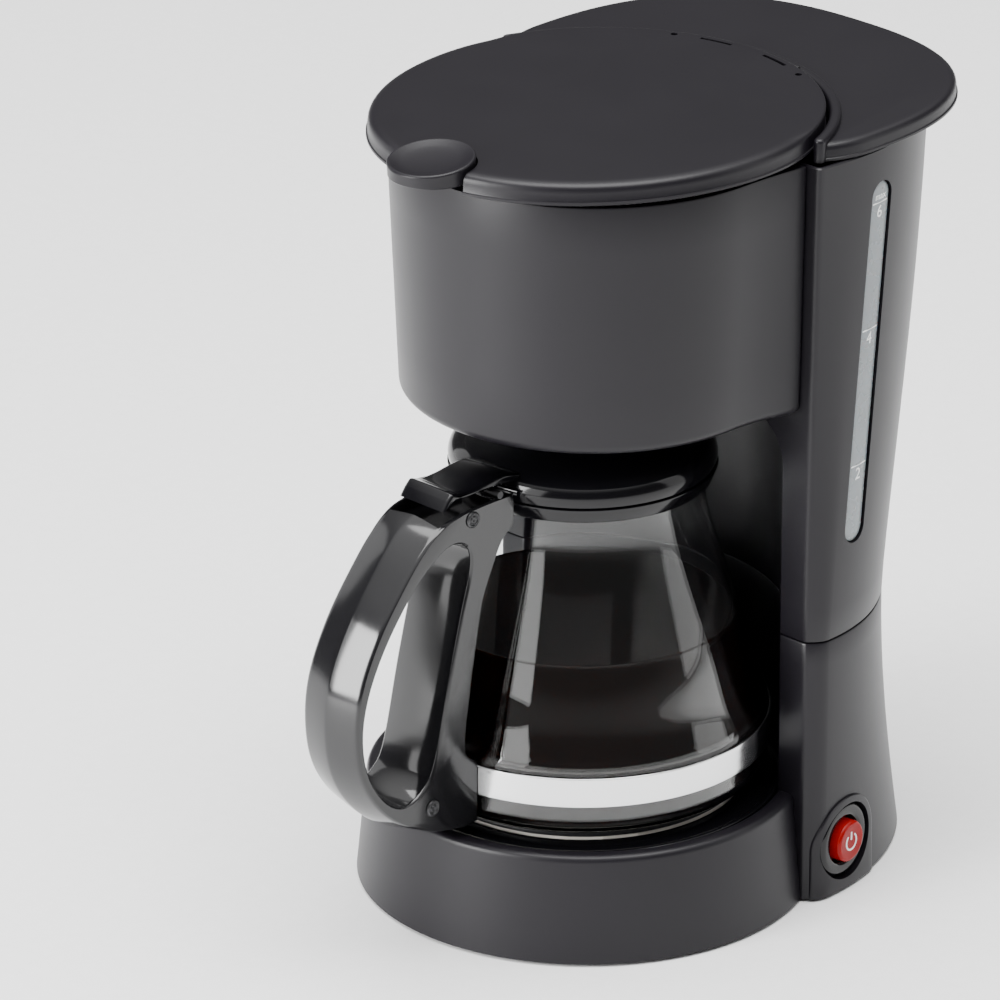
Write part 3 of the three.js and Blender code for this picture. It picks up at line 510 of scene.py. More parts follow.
def head_ring(z, inset=0.0):
    """Half round in front, flaring beside, and a round back that stands in the tower."""
    share = (z - HEAD.z0) / (HEAD.z1 - HEAD.z0)
    radius = HEAD_BOTTOM_RADIUS + (HEAD_TOP_RADIUS - HEAD_BOTTOM_RADIUS) * share - inset
    side_x = HEAD_BOTTOM_SIDE + (HEAD_TOP_SIDE - HEAD_BOTTOM_SIDE) * share - inset
    back_y = TOWER.y0 - 0.3 - inset
    back_radius = HEAD.y1 - inset
    plan = [(radius * math.cos(a), HEAD_CENTRE + radius * math.sin(a))
            for a in (math.pi * (1 + k / 72) for k in range(73))]
    flare = [(radius + (side_x - radius) * u * u, HEAD_CENTRE + (back_y - HEAD_CENTRE) * u)
             for u in (0.2, 0.4, 0.6, 0.8)]
    plan += [*flare, (side_x, back_y, 0.8)]
    corner = math.asin(back_y / back_radius)
    plan += [(back_radius * math.cos(a), back_radius * math.sin(a))
             for a in (corner + (math.pi - 2 * corner) * k / 48 for k in range(49))]
    plan += [(-side_x, back_y, 0.8), *((-x, y) for x, y in reversed(flare))]
    return [(x, y, z) for x, y in eased(plan)]


def lid_ring(offset, z, share=1.0):
    """Long oval in front of its widest line, a circle behind it, shrunk to a share of itself."""
    ring = []
    for k in range(ROUND):
        angle = TAU * k / ROUND
        length = (LID_FRONT if math.sin(angle) < 0 else LID_SIDE) + offset
        ring.append((share * (LID_SIDE + offset) * math.cos(angle),
                     LID_CENTRE + share * length * math.sin(angle), z))
    return ring


def side_prism(name, outline, x0, x1):
    """An outline in the Y-Z plane, carried from x0 to x1."""
    return skin(name, [[(x, y, z) for y, z in outline] for x in (x0, x1)])


def block(name, x0, x1, y0, y1, z0, z1):
    return side_prism(name, [(y0, z0), (y1, z0), (y1, z1), (y0, z1)], x0, x1)


def stadium(half, count=16):
    """The gauge's long outline with round ends, in the Y-Z plane."""
    along = (GAUGE_TOP - GAUGE_BOTTOM).normalized()
    across = Vector((along.y, -along.x))
    plan = []
    for centre, start in ((GAUGE_TOP, 0.0), (GAUGE_BOTTOM, math.pi)):
        for k in range(count + 1):
            angle = start + math.pi * k / count
            plan.append(centre + half * (across * math.cos(angle) + along * math.sin(angle)))
        other = GAUGE_BOTTOM if centre is GAUGE_TOP else GAUGE_TOP
        sign = -1 if centre is GAUGE_TOP else 1
        for k in range(1, 24):
            plan.append(centre.lerp(other, k / 24) + half * across * sign)
    return [tuple(p) for p in plan]


# ---------------------------------------------------------------- base and tower
def switch_frame():
    """Z of this frame points out of the tower's side, through the middle of the switch."""
    x = tower_side(SWITCH_Y, SWITCH_Z)
    return Matrix.Translation((x, SWITCH_Y, SWITCH_Z)) @ Matrix.Rotation(SWITCH_TURN, 4, "Z") @ SIDEWAYS


SWITCH = switch_frame()


def on_switch(points):
    return [tuple(SWITCH @ Vector(p)) for p in points]


def arch_panel():
    """The raised panel with a round top that frames the switch and follows the tower's side."""
    low, radius = BASE.z0, ARCH_RADIUS
    plan = [(SWITCH_Y + radius * math.cos(a), SWITCH_Z + radius * math.sin(a))
            for a in (math.pi * k / 40 for k in range(41))]
    plan += [(SWITCH_Y - radius, low + (SWITCH_Z - low) * (1 - k / 6)) for k in range(1, 7)]
    plan += [(SWITCH_Y - radius + 2 * radius * k / 12, low) for k in range(1, 13)]
    plan += [(SWITCH_Y + radius, low + (SWITCH_Z - low) * k / 6) for k in range(1, 6)]
    levels = [(1.0, -5), (1.0, ARCH_LIFT - 0.35), (0.985, ARCH_LIFT - 0.08), (0.96, ARCH_LIFT)]
    levels += [(share, ARCH_LIFT) for share in (0.8, 0.6, 0.4, 0.2, 0.01)]
    rings = []
    for share, lift in levels:
        shrunk = [(SWITCH_Y + (y - SWITCH_Y) * share, SWITCH_Z + (z - SWITCH_Z) * share) for y, z in plan]
        rings.append([(tower_side(y, z) + lift, y, z) for y, z in shrunk])
    return skin("arch", rings)


def base_casing():
    low, high = BASE.z0, BASE.z1
    profile = eased([(BASE_BOTTOM, low, 0.5), (BASE_TOP + 0.15, BASE_RIM, 2.2), (WELL_TOP, BASE_RIM, 0.8),
                     (WELL_BOTTOM, BASE_DECK, 0.4)], steps=6, closed=False)
    profile = [(BASE_BOTTOM - 1, low), (BASE_BOTTOM, low + 0.4)] + profile[1:]
    rings = [circle(0, low, (0, BASE_CENTRE))]
    rings += [circle(r, z, (0, BASE_CENTRE if r > WELL_TOP + 0.1 else 0)) for r, z in profile]
    rings.append(circle(0, BASE_DECK))
    shell = skin("base_casing", rings)

    rings = [tower_ring(z, inset, flat=True)
             for z, inset in ((low, 0.4), (low + 0.4, 0), (12, 0), (BAY_FLOOR, 0))]
    rings += [tower_ring(BAY_FLOOR + (high - 0.6 - BAY_FLOOR) * k / 8) for k in range(9)]
    rings += [tower_ring(high - 0.15, 0.2), tower_ring(high, 0.6)]
    join(shell, skin("tower_foot", rings), arch_panel())

    inner_round = lathe("inner_round", [(0, -5), (BASE_BOTTOM - WALL, -5), (BASE_TOP - WALL, DECK_UNDER),
                                        (0, DECK_UNDER)], (0, BASE_CENTRE))
    inner_rings = [tower_ring(z, WALL, flat=True) for z in (-5, 12, DECK_UNDER)]
    inner_rings += [tower_ring(z, WALL) for z in (DECK_UNDER, 60, 100)]
    middle = block("inner_middle", -58, 58, 0, 40, -5, DECK_UNDER)
    plate_hole = lathe("plate_hole", [(0, 20), (PLATE_HOLE, 20), (PLATE_HOLE, 40), (0, 40)])
    seat, bore = BEZEL_RADIUS + 0.3, BEZEL_RADIUS - 1.3
    stepped = [(0, -12), (bore, -12), (bore, -2.7), (seat, -2.7), (seat, 5), (0, 5)]
    switch_hole = lathe("switch_hole", stepped, matrix=SWITCH, count=96)
    straight = [(0, 90), (5.1, 90), (5.1, 120), (0, 120)]
    gland_hole = lathe("gland_hole", straight, matrix=REARWARD, count=48)
    cut(shell, inner_round, skin("inner_tower", inner_rings), middle, plate_hole, switch_hole, gland_hole)
    return piece(shell, "machine", "body_plastic", BLACK, "base_shell")


def tower_levels(inset, lift):
    """Rings of the tower casing from its seam to its top, with the arch of the bay and the filter chamber."""
    seam, top = TOWER.z0, TOWER.z1
    arch = BAY_TOP - BAY_ARCH
    rings = [tower_ring(seam + rise, inset + edge) for rise, edge in ((0, 0.6), (0.15, 0.2), (0.6, 0))]
    rings += [tower_ring(seam + 0.6 + (arch - seam - 0.6) * k / 6, inset) for k in range(1, 7)]
    for k in range(1, 11):
        angle = math.pi / 2 * k / 10
        rings.append(tower_ring(arch + (BAY_ARCH + lift) * math.sin(angle), inset,
                                BAY_RADIUS - BAY_ARCH * (1 - math.cos(angle))))
    rings.append(tower_ring(BAY_TOP + lift, inset, BAY_RADIUS - BAY_ARCH, flat=True))
    chamber = HEAD.z0 - 0.6 - lift
    rings.append(tower_ring(chamber, inset, CHAMBER_RADIUS, flat=True))
    rings += [tower_ring(chamber + (top - 0.4 - chamber) * k / 8, inset, CHAMBER_RADIUS) for k in range(9)]
    rings.append(tower_ring(top, inset + 0.4 * (1 if inset == 0 else -1), CHAMBER_RADIUS))
    return rings


def tower_casing():
    rings = tower_levels(0, 0) + tower_levels(1.5, 1.0)[::-1]
    shell = skin("tower_casing", rings, closed=True)
    cut(shell, side_prism("gauge_slot", stadium(GAUGE_HALF + 0.3), 50, 90))
    return piece(shell, "machine", "body_plastic", BLACK, "tower_shell")


def gauge_window():
    """A shallow lens that follows the tower's side, sunk a little below it."""
    levels = [(GAUGE_HALF, 3.2), (GAUGE_HALF, 1.15), (GAUGE_HALF - 0.2, 0.9), (GAUGE_HALF - 0.7, 0.75),
              (GAUGE_HALF * 0.6, 0.7), (GAUGE_HALF * 0.25, 0.7), (0.05, 0.7)]
    rings = [[(tower_side(y, z) - depth, y, z) for y, z in stadium(half)] for half, depth in levels]
    window = skin("water_gauge_window", rings)
    return piece(window, "machine", "gauge_window", GAUGE, "water_gauge")


def on_gauge(along, across, depth=PRINT_DEPTH):
    """A point on the window: along its length in millimetres of height, and across it."""
    share = (along - GAUGE_BOTTOM.y) / (GAUGE_TOP.y - GAUGE_BOTTOM.y)
    middle = GAUGE_BOTTOM.lerp(GAUGE_TOP, share)
    y, z = middle.x + across, along
    return tower_side(y, z) - depth, y, z


def gauge_marks():
    wide, tall = MARK_HALF_WIDTH, MARK_HALF_HEIGHT
    corners = [(-tall, -wide), (-tall, 0), (-tall, wide), (tall, wide), (tall, 0), (tall, -wide)]
    for label, z in (("2", MARK_2), ("4", MARK_4), ("6", MARK_6)):
        front = [on_gauge(z + up, across) for up, across in corners]
        back = [(x - 0.2, y, z) for x, y, z in front]
        line = skin(f"gauge_line_{label}", [back, front])
        piece(line, "machine", "gauge_marks", PRINT)
        gauge_text(f"gauge_number_{label}", label, z - 4.6, 3.9)
    gauge_text("gauge_number_max", "max", MARK_6 + 1.0, 2.3)


def gauge_text(name, text, z, height):
    curve = bpy.data.curves.new(name, "FONT")
    curve.body = text
    curve.size = height * 1.35
    curve.align_x = "CENTER"
    curve.extrude = 0.05
    letters = bpy.data.objects.new(name, curve)
    bpy.context.scene.collection.objects.link(letters)
    bpy.context.view_layer.update()
    mesh = bpy.data.meshes.new_from_object(letters.evaluated_get(bpy.context.evaluated_depsgraph_get()))
    bpy.data.objects.remove(letters)
    for vertex in mesh.vertices:
        across, up, out = vertex.co
        vertex.co = metres(on_gauge(z + up, across, PRINT_DEPTH - out))
    obj = bpy.data.objects.new(name, mesh)
    bpy.context.scene.collection.objects.link(obj)
    piece(obj, "machine", "gauge_marks", PRINT)


def switch_parts():
    outer, hole = BEZEL_RADIUS, ROCKER_RADIUS + 0.9
    bezel = lathe("switch_ring", eased([(hole, -5.6), (hole, -0.9, 0.5), (hole + 0.8, -0.2, 0.4),
                                        (outer - 1.2, -0.2, 0.8), (outer, -1.2, 0.6), (outer, -2.4),
                                        (outer - 1.6, -2.4), (outer - 1.6, -5.6)]), matrix=SWITCH, count=96)
    piece(bezel, "machine", "gloss_plastic", GLOSS, "switch_bezel")
    r = ROCKER_RADIUS
    profile = eased([(0, -4.6), (r - 0.8, -4.6), (r, -3, 0.3), (r, 1.5, 0.4), (r - 0.6, 2.3, 0.5),
                     (r - 2.6, 2.1, 1.5), (0, 1.9)], closed=False)
    cap = lathe("switch_cap", profile, matrix=SWITCH, count=96)
    piece(cap, "rocker", "rocker_red", RED, "rocker_button")

    gap_half = math.radians(38)
    arc = [math.pi / 2 + gap_half + (TAU - 2 * gap_half) * k / 40 for k in range(41)]
    outer = [(2.9 * math.cos(a), 2.9 * math.sin(a)) for a in arc]
    inner = [(2.35 * math.cos(a), 2.35 * math.sin(a)) for a in reversed(arc)]
    bar = eased([(-0.28, 0.6, 0.15), (0.28, 0.6, 0.15), (0.28, 3.3, 0.15), (-0.28, 3.3, 0.15)])
    for name, plan in (("power_mark_ring", outer + inner), ("power_mark_bar", bar)):
        mark = skin(name, [on_switch([(u, v, out) for u, v in plan]) for out in (1.75, 2.16)])
        piece(mark, "rocker", "gauge_marks", PRINT)


# ---------------------------------------------------------------- brew head
def brew_head():
    low, high = HEAD.z0, HEAD.z1
    hole = BASKET_NOZZLE + 3

    def hole_ring(z):
        return [(hole * math.cos(a), hole * math.sin(a), z)
                for a in (math.atan2(y, x) for x, y, _ in head_ring(low))]

    edge = 3.2
    rings = [hole_ring(low), head_ring(low, 14), head_ring(low, edge + 0.6)]
    rings += [head_ring(low + along, inward) for inward, along in rounding(edge, 7)]
    rings += [head_ring(low + edge + (high - edge - 0.6 - low) * k / 5) for k in range(1, 6)]
    rings += [head_ring(z, inset) for z, inset in
              ((high - 0.15, 0.15), (high, 0.6), (high, 2.2), (high - 0.5, 2.7),
               (low + 10, 2.7), (low + 5, 3.2), (low + WALL, 6))]
    rings.append(hole_ring(low + WALL))
    shell = skin("brew_head_casing", rings, closed=True)
    return piece(shell, "machine", "body_plastic", BLACK, "brew_head_shell")


def filter_parts():
    t, rim, floor, top = 1.6, BASKET.z1, BASKET_FLOOR, BASKET.x1
    basket = lathe("filter_holder", eased([
        (5.6, BASKET.z0), (BASKET_NOZZLE, BASKET.z0, 0.6), (BASKET_NOZZLE, floor, 1.0), (24, floor, 3),
        (top - 3, rim - 4, 1), (top - 3, rim - 1.6), (top, rim - 1.6, 0.5), (top, rim, 0.5),
        (top - 3 - t, rim, 0.5), (top - 3 - t, rim - 4), (22.8, floor + t, 3), (5.6, floor + t, 0.5),
        (5.6, 164.7), (3.3, 164.7), (3.3, 163.2), (5.6, 163.2)]))
    piece(basket, "machine", "body_plastic", BLACK, "filter_basket")
    low = floor + 9
    gauze = lathe("filter_gauze_cup", eased([
        (0, low), (24.6, low, 2), (43.2, 221, 1), (45.3, 225), (45.3, 226.6, 0.4), (44, 226.6, 0.4),
        (42, 221), (23.6, low + 1.2, 2), (0, low + 1.2)], closed=False))
    piece(gauze, "machine", "filter_mesh", GAUZE, "mesh_filter")

    tip, stem = VALVE_TIP, VALVE_STEM
    valve = lathe("drip_valve_stem", eased([
        (0, tip), (4.2, tip, 0.5), (4.8, tip + 0.8, 0.3), (4.8, tip + 2.8, 0.4), (stem, tip + 2.8, 0.4),
        (stem, 177.3), (6, 177.4, 0.3), (6, 178.0, 0.4), (0, 178.5)], closed=False), count=64)
    piece(valve, "valve", "body_plastic", DARK_PLASTIC, "drip_valve")
    radius, turns, low, high = 3.7, 4, tip + 3.5, SPRING_TOP
    coil = []
    for k in range(turns * 24 + 1):
        angle = TAU * k / 24
        z = low + (high - low) * k / (turns * 24)
        coil.append((radius * math.cos(angle), radius * math.sin(angle), z))
    spring = tube("drip_valve_spring", coil, 0.38, 10)
    piece(spring, "valve", "steel", STEEL, "valve_spring")


# ---------------------------------------------------------------- lid and rear cover
def lid_edge(inward, drop):
    """A ring of the lid's rounded edge, which is rounder in front than where it lies along the bead."""
    ring = []
    for k in range(ROUND):
        angle = TAU * k / ROUND
        behind = min(1.0, max(0.0, (math.sin(angle) - 0.22) / 0.2))
        size = 1 - 0.72 * behind * behind * (3 - 2 * behind)
        length = (LID_FRONT if math.sin(angle) < 0 else LID_SIDE) - inward * size
        ring.append(((LID_SIDE - inward * size) * math.cos(angle), LID_CENTRE + length * math.sin(angle),
                     LID.z1 - drop * size))
    return ring


def lid_casing():
    low, high = LID.z0, LID.z1
    rings = [lid_ring(0, high + LID_DOME * (1 - share ** 2), share * (LID_SIDE - 4.4) / LID_SIDE)
             for share in (0.01, 0.1, 0.25, 0.4, 0.55, 0.7, 0.82, 0.92, 1.0)]
    rings += [lid_edge(inward, drop) for inward, drop in
              ((3.4, 0.06), (2.6, 0.2), (1.85, 0.46), (1.25, 0.85), (0.85, 1.35), (0.62, 2.0), (0.5, 2.9))]
    section = [(-0.5, low + 1.4), (-0.35, low + 1.05), (-0.1, low + 0.95), (0, low + 0.8), (0, low + 0.2),
               (-0.2, low), (-4.1, low), (-4.4, low + 0.3), (-4.4, low + 2.9), (-5.2, low + 3.5)]
    rings += [lid_ring(offset, z) for offset, z in section]
    rings.append(lid_ring(0, low + 3.6, 0.01))
    shell = skin("lid_casing", rings)
    reach = TAB.x1 + 0.35
    outline = [(0, low - 5), (reach, low - 5), (reach, high + 5), (0, high + 5)]
    notch = lathe("tab_notch", outline, (0, TAB_Y), 96)
    cut(shell, notch, *vent_tools())
    return piece(shell, "lid", "body_plastic", BLACK, "lid_shell")


def vent_tools():
    """Two slots and two dots along the rear of the lid."""
    radius = LID_SIDE - 3.2
    low, high = LID.z1 - 8, LID.z1 + 5

    def at(degrees, r):
        angle = math.radians(90 - degrees)
        return r * math.cos(angle), LID_CENTRE + r * math.sin(angle)

    tools = []
    for first, last in ((-16, -6), (6, 16)):
        steps = [first + (last - first) * k / 10 for k in range(11)]
        plan = [at(d, radius - 0.65) for d in steps] + [at(d, radius + 0.65) for d in reversed(steps)]
        tools.append(skin("vent_slot", [[(x, y, z) for x, y in plan] for z in (low, high)]))
    dot = [(0, low), (1.1, low), (1.1, high), (0, high)]
    for degrees in (-24, 24):
        tools.append(lathe("vent_dot", dot, at(degrees, radius), 24))
    return tools


def lid_thumb_tab():
    """Round dished tab with a thin raised rim, higher behind than in front."""
    low, high, r = TAB.z0, TAB.z1, TAB.x1
    top = high - TAB_RISE * r - 0.1
    profile = eased([(0, top - 2.0), (r - 4.5, top - 1.4, 3.0), (r - 1.6, top - 0.35, 0.5),
                     (r - 0.7, top, 0.5), (r - 0.05, top - 0.5, 0.4), (r - 0.2, top - 1.5, 0.8)],
                    steps=6, closed=False)
    rings = [[(x, y, z + TAB_RISE * (y - TAB_Y)) for x, y, z in circle(radius, z, (0, TAB_Y))]
             for radius, z in profile]
    rings += [circle(radius, z, (0, TAB_Y)) for radius, z in
              ((r - 0.3, low + 1.2), (r - 0.35, low + 0.3), (r - 0.6, low), (0, low))]
    tab = skin("lid_thumb_tab", rings)
    return piece(tab, "lid", "body_plastic", BLACK, "lid_tab")


def cover_ring(offset, z, count=192):
    """The cover's oval with full shoulders, grown by the offset."""
    ring = []
    for k in range(count):
        c, s = math.cos(TAU * k / count), math.sin(TAU * k / count)
        length = (COVER_BACK if s > 0 else COVER_FRONT) + offset
        ring.append(((COVER_SIDE + offset) * math.copysign(abs(c) ** (2 / COVER_POWER), c),
                     COVER_CENTRE + length * math.copysign(abs(s) ** (2 / COVER_POWER), s), z))
    return ring


def bead_ring(inset, z):
    """The raised bead's plan: a band along the rear of the lid, with half-round ends."""
    middle, half = LID_SIDE + (BEAD_INNER + BEAD_OUTER) / 2, (BEAD_OUTER - BEAD_INNER) / 2
    first = math.asin((COVER.y0 + 1.8 + half - LID_CENTRE) / middle)
    last = math.pi - first

    def arc(r, start, end):
        turns = [start + (end - start) * k / 80 for k in range(81)]
        return [(r * math.cos(turn), r * math.sin(turn)) for turn in turns]

    def round_end(at, start):
        turns = [start + math.pi * k / 12 for k in range(1, 12)]
        return [(middle * math.cos(at) + (half - inset) * math.cos(turn),
                 middle * math.sin(at) + (half - inset) * math.sin(turn)) for turn in turns]

    plan = arc(middle + half - inset, first, last) + round_end(last, last)
    plan += arc(middle - half + inset, last, first) + round_end(first, first + math.pi)
    return [(x, LID_CENTRE + y, z) for x, y in plan]


def rear_cover():
    """A flat crescent with a rounded rim and a thin lip, behind a raised bead that runs along the lid."""
    low, flat, top = COVER.z0, COVER_FLAT_Z, COVER.z1
    rim = [(-3, low), (-0.25, low), (0, low + 0.2), (0, low + 0.85), (-0.12, low + 1.0), (-0.36, low + 1.1),
           (-0.4, low + 1.4), (-0.4, flat - 2.1), (-0.55, flat - 1.3), (-0.9, flat - 0.7), (-1.4, flat - 0.3),
           (-2.1, flat - 0.07), (-3.0, flat)]
    shell = skin("rear_cover_casing", [cover_ring(offset, z) for offset, z in rim])
    behind_lid = skin("behind_lid", [lid_ring(BEAD_INNER + 0.6, z) for z in (low - 5, top + 5)])
    cut(shell, behind_lid, block("cover_front", -100, 100, -100, COVER.y0 + 0.3, low - 5, top + 5))
    levels = [(0.2, low), (0, low + 0.2), (0, top - 1.3), (0.12, top - 0.7), (0.4, top - 0.3),
              (0.85, top - 0.08), (1.3, top)]
    join(shell, skin("cover_bead", [bead_ring(inset, z) for inset, z in levels]))
    return piece(shell, "machine", "body_plastic", BLACK, "rear_cover")


# ---------------------------------------------------------------- carafe
GLASS_OUTSIDE = [(48.5, 36), (53.8, 37.7), (56.6, 41.4), (57, 45), (57, 57.2), (55.7, 61.6), (53.6, 67.6),
                 (50.6, 79.8), (47.6, 90), (43.7, 102.1), (39.8, 114.6), (37.6, 123.3), (37.1, 130),
                 (37.6, 136.8)]


def carafe_glass():
    outside = spline(GLASS_OUTSIDE, 5)
    inside = [(r - GLASS_WALL, z) for r, z in outside if z > 39.5][::-1]
    bottom = [(50.6, 38.9), (47.5, 38.1), (0, 38)]
    lip = [(37.45, 137.15), (36.6, 137.35), (35.75, 137.15)]
    underside = [(0, 36.6), (40, 36.5), (46, 36)]
    glass = lathe("carafe_glass_body", underside + outside[1:] + lip + inside + bottom, count=160)
    return piece(glass, "carafe", "glass", GLASS_CLEAR, "carafe_glass", sharp=50)


def coffee():
    level = COFFEE_Z
    wall = [(r - GLASS_WALL - 0.06, z) for r, z in spline(GLASS_OUTSIDE, 5) if 39.6 < z < level - 0.4]
    edge = wall[-1][0]
    surface = [(edge - 0.15, level + 0.35), (edge - 0.6, level + 0.1), (edge - 1.6, level), (0, level)]
    liquid = lathe("coffee", [(0, 38.1), (47.4, 38.2), (50.5, 39)] + wall + surface, count=160)
    return piece(liquid, "carafe", "coffee", COFFEE, sharp=50)


def carafe_trim():
    r, low, high = BAND.x1, BAND.z0, BAND.z1
    ring = lathe("carafe_steel_band", eased([
        (r - 0.75, low), (r - 0.1, low, 0.3), (r, low + 1.2, 0.6),
        (r, high - 1.2, 0.6), (r - 0.1, high, 0.3), (r - 0.75, high)]), count=160)
    piece(ring, "carafe", "steel", STEEL, "carafe_band")
    outer, inner = COLLAR.x1, 38.2
    collar = lathe("carafe_collar_ring", eased([
        (inner, COLLAR.z0), (outer - 1.7, COLLAR.z0, 0.4), (outer, COLLAR.z1, 0.5), (inner, COLLAR.z1)]),
        count=160)
    piece(collar, "carafe", "gloss_plastic", GLOSS, "carafe_collar")


HANDLE_OUTSIDE = [(-41, 141.4), (-52, 141.6), (-64, 141.2), (-72, 140.1), (-80, 135.5), (-89, 126.1),
                  (-99.1, 113), (-106.4, 98.6), (-109, 84.6), (-107.3, 69.4), (-101, 57), (-90.6, 46.9),
                  (-77.6, 40.3), (-66, 38.5), (-56, 38.7)]
HANDLE_STRAP = [(-56, 58.6), (-61.6, 64), (-59.8, 81), (-56.6, 99), (-54, 111), (-49, 122), (-45.4, 128),
                (-41, 131)]
HANDLE_HOLE = [(-65, 132), (-72.4, 130.2), (-83.4, 121.6), (-94.6, 107.6), (-101.7, 93.6), (-104, 80.4),
               (-101.5, 67.8), (-94.6, 57.8), (-86.8, 54), (-78.6, 57.4), (-74.2, 65), (-68.6, 88),
               (-63, 109), (-59.4, 121.6), (-60, 128.6)]


def inward(outline, distances):
    """A Y-Z outline whose points move into it by their own distances."""
    count = len(outline)
    area = sum(outline[i][0] * outline[(i + 1) % count][1] - outline[(i + 1) % count][0] * outline[i][1]
               for i in range(count))
    turn = 1 if area > 0 else -1
    moved = []
    for i, (y, z) in enumerate(outline):
        along = (Vector(outline[(i + 1) % count]) - Vector(outline[i - 1])).normalized()
        moved.append((y - along.y * turn * distances[i], z + along.x * turn * distances[i]))
    return moved


def carafe_handle():
    """A D-shaped loop: a soft ridge down its outer face, flat sides, and a strap that follows the glass."""
    grip = spline(HANDLE_OUTSIDE, 6)
    strap = spline(HANDLE_STRAP, 5)
    outline = grip + strap
    weights = [0.18 + 0.82 * min(1.0, max(0.0, (-y - 62) / 18)) for y, z in grip]
    weights += [0.18] * len(strap)
    half = HANDLE.x1
    section = [(half, 3.1), (half - 0.12, 2.65), (half - 0.5, 2.25), (half - 1.1, 2.0), (half - 1.8, 1.83),
               (half - 5, 1.14), (half - 8, 0.49), (1.6, 0.19), (0.7, 0.05), (0.25, 0)]
    section += [(-x, depth) for x, depth in reversed(section)]
    body = skin("carafe_handle_body", [
        [(x, y, z) for y, z in inward(outline, [depth * w for w in weights])] for x, depth in section])

    hole = spline(HANDLE_HOLE, 4, closed=True)
    flare = [(half + 1, 1.6), (half, 0.75), (half - 0.35, 0.3), (half - 1.0, 0)]
    flare += [(-x, grow) for x, grow in reversed(flare)]
    opening = skin("handle_opening", [
        [(x, y, z) for y, z in inward(hole, [-grow] * len(hole))] for x, grow in flare])
    pocket = block("lever_pocket", -LEVER_HALF - 1, LEVER_HALF + 1, *LEVER_POCKET)
    clearance = [(0, 30), (58.3, 30), (58.3, 60)]
    clearance += [(r + 0.6, z) for r, z in spline(GLASS_OUTSIDE, 5) if 60 < z < 130]
    beside = COLLAR.x1 + 0.3
    clearance += [(38.4, COLLAR.z0 - 0.6), (beside, COLLAR.z0 - 0.3), (beside, 160), (0, 160)]
    cut(body, opening, pocket, lathe("glass_clearance", clearance))
    for node, y, z in HANDLE_SCREWS:
        screw_head(node, y, z)
    return piece(body, "carafe", "gloss_plastic", HANDLE_BLACK, "carafe_handle", sharp=28)


def screw_head(node, y, z):
    """A round cap with a ring and a dimple, in the side of the handle."""
    head = lathe(node + "_head", eased([
        (0, -1.5), (2.4, -1.5), (2.6, 0.4, 0.4), (2.1, 0.75, 0.3), (1.75, 0.7, 0.2), (1.6, 0.3, 0.2),
        (1.2, 0.3, 0.2), (1.05, 0.7, 0.2), (0.5, 0.7, 0.3), (0, 0.35)], closed=False),
        matrix=Matrix.Translation((HANDLE.x1, y, z)) @ SIDEWAYS, count=40)
    piece(head, "carafe", "steel", SCREW, node)


def carafe_lid():
    top, low = CARAFE_LID.z1, CARAFE_LID.z0
    dome = lathe("carafe_lid_dome", eased([
        (4, top - 2.6), (4, top, 0.4), (9, top, 0.4), (9.6, top - 0.5, 0.3), (22, top - 0.7, 4),
        (35.6, top - 2.6, 5), (39.8, top - 5.6, 2.5), (41, top - 9.0, 1.5), (40.5, low, 0.3), (34.6, low),
        (34.6, top - 7.6), (22, top - 3.2)]), count=160)
    side = spline([(-36, 143.4), (-50, 144.2), (-63.4, 144.6)], 3) + [(-67.2, 142.3), (-68.8, 142.9)]
    side += spline([(-66.8, 145.6), (-65.5, 146.8), (-64.5, 147.4), (-63.3, 147.1), (-60, 146.2),
                    (-54, 146.2), (-48, 146.9), (-42, 147.1), (-36, 145.6)], 4)
    half = LEVER_HALF
    levels = [(half, 1.0), (half - 0.15, 0.55), (half - 0.55, 0.18), (half - 1.2, 0.0)]
    levels += [(-x, inset) for x, inset in reversed(levels)]
    lever = skin("lever", [[(x, y, z) for y, z in inward(side, [inset] * len(side))] for x, inset in levels])
    join(dome, lever)
    return piece(dome, "pouring_lid", "gloss_plastic", GLOSS, "carafe_lid")


# ---------------------------------------------------------------- small parts
def plates():
    top, r = PLATE.z1, PLATE_RADIUS
    plate = lathe("hot_plate", eased([
        (0, PLATE.z0), (r, PLATE.z0), (r, top - 0.5, 0.6), (r - 1.7, top, 0.5), (r - 2.9, top - 0.35, 0.4),
        (r - 5, top - 0.35, 0.4), (r - 6.1, top - 0.1, 0.4), (0, top - 0.1)], closed=False))
    piece(plate, "machine", "plate", NONSTICK, "warming_plate")
    low, inside, r = SURROUND.z0, PLATE_RADIUS + 0.4, SURROUND_RADIUS
    ring = lathe("hot_plate_surround", eased([
        (inside, low), (r, low), (r, SURROUND.z1, 0.4), (r - 1.2, SURROUND.z1, 0.6),
        (r - 3.2, low + 1.6, 1.2), (inside, low + 1.5, 0.3)]))
    piece(ring, "machine", "gloss_plastic", GLOSS, "plate_surround")


def feet():
    for corner in ("front_left", "front_right", "rear_left", "rear_right"):
        node = "foot_" + corner
        at = extent(node)
        r = (at.x1 - at.x0) / 2
        foot = lathe(node + "_pad", eased([
            (0, 0.25), (r - 2.2, 0.25, 0.2), (r - 1.8, 0, 0.15), (r - 0.6, 0, 0.3), (r, 0.8, 0.4), (r, at.z1),
            (0, at.z1)], closed=False), ((at.x0 + at.x1) / 2, (at.y0 + at.y1) / 2), 48)
        piece(foot, "machine", "rubber", RUBBER, node)


def cord_gland():
    gland = extent("cord_gland")
    inside, face, outside = gland.y0, gland.y1 - 2.2, gland.y1
    sleeve = lathe("cord_gland_sleeve", eased([
        (3.3, inside), (4.8, inside, 0.4), (4.8, face), (7.5, face, 0.2), (7.5, face + 1.2, 0.5),
        (6.2, outside, 0.8), (4.4, outside, 0.5), (3.3, outside - 1.0, 0.5)]), matrix=REARWARD, count=64)
    piece(sleeve, "machine", "rubber", RUBBER, "cord_gland")


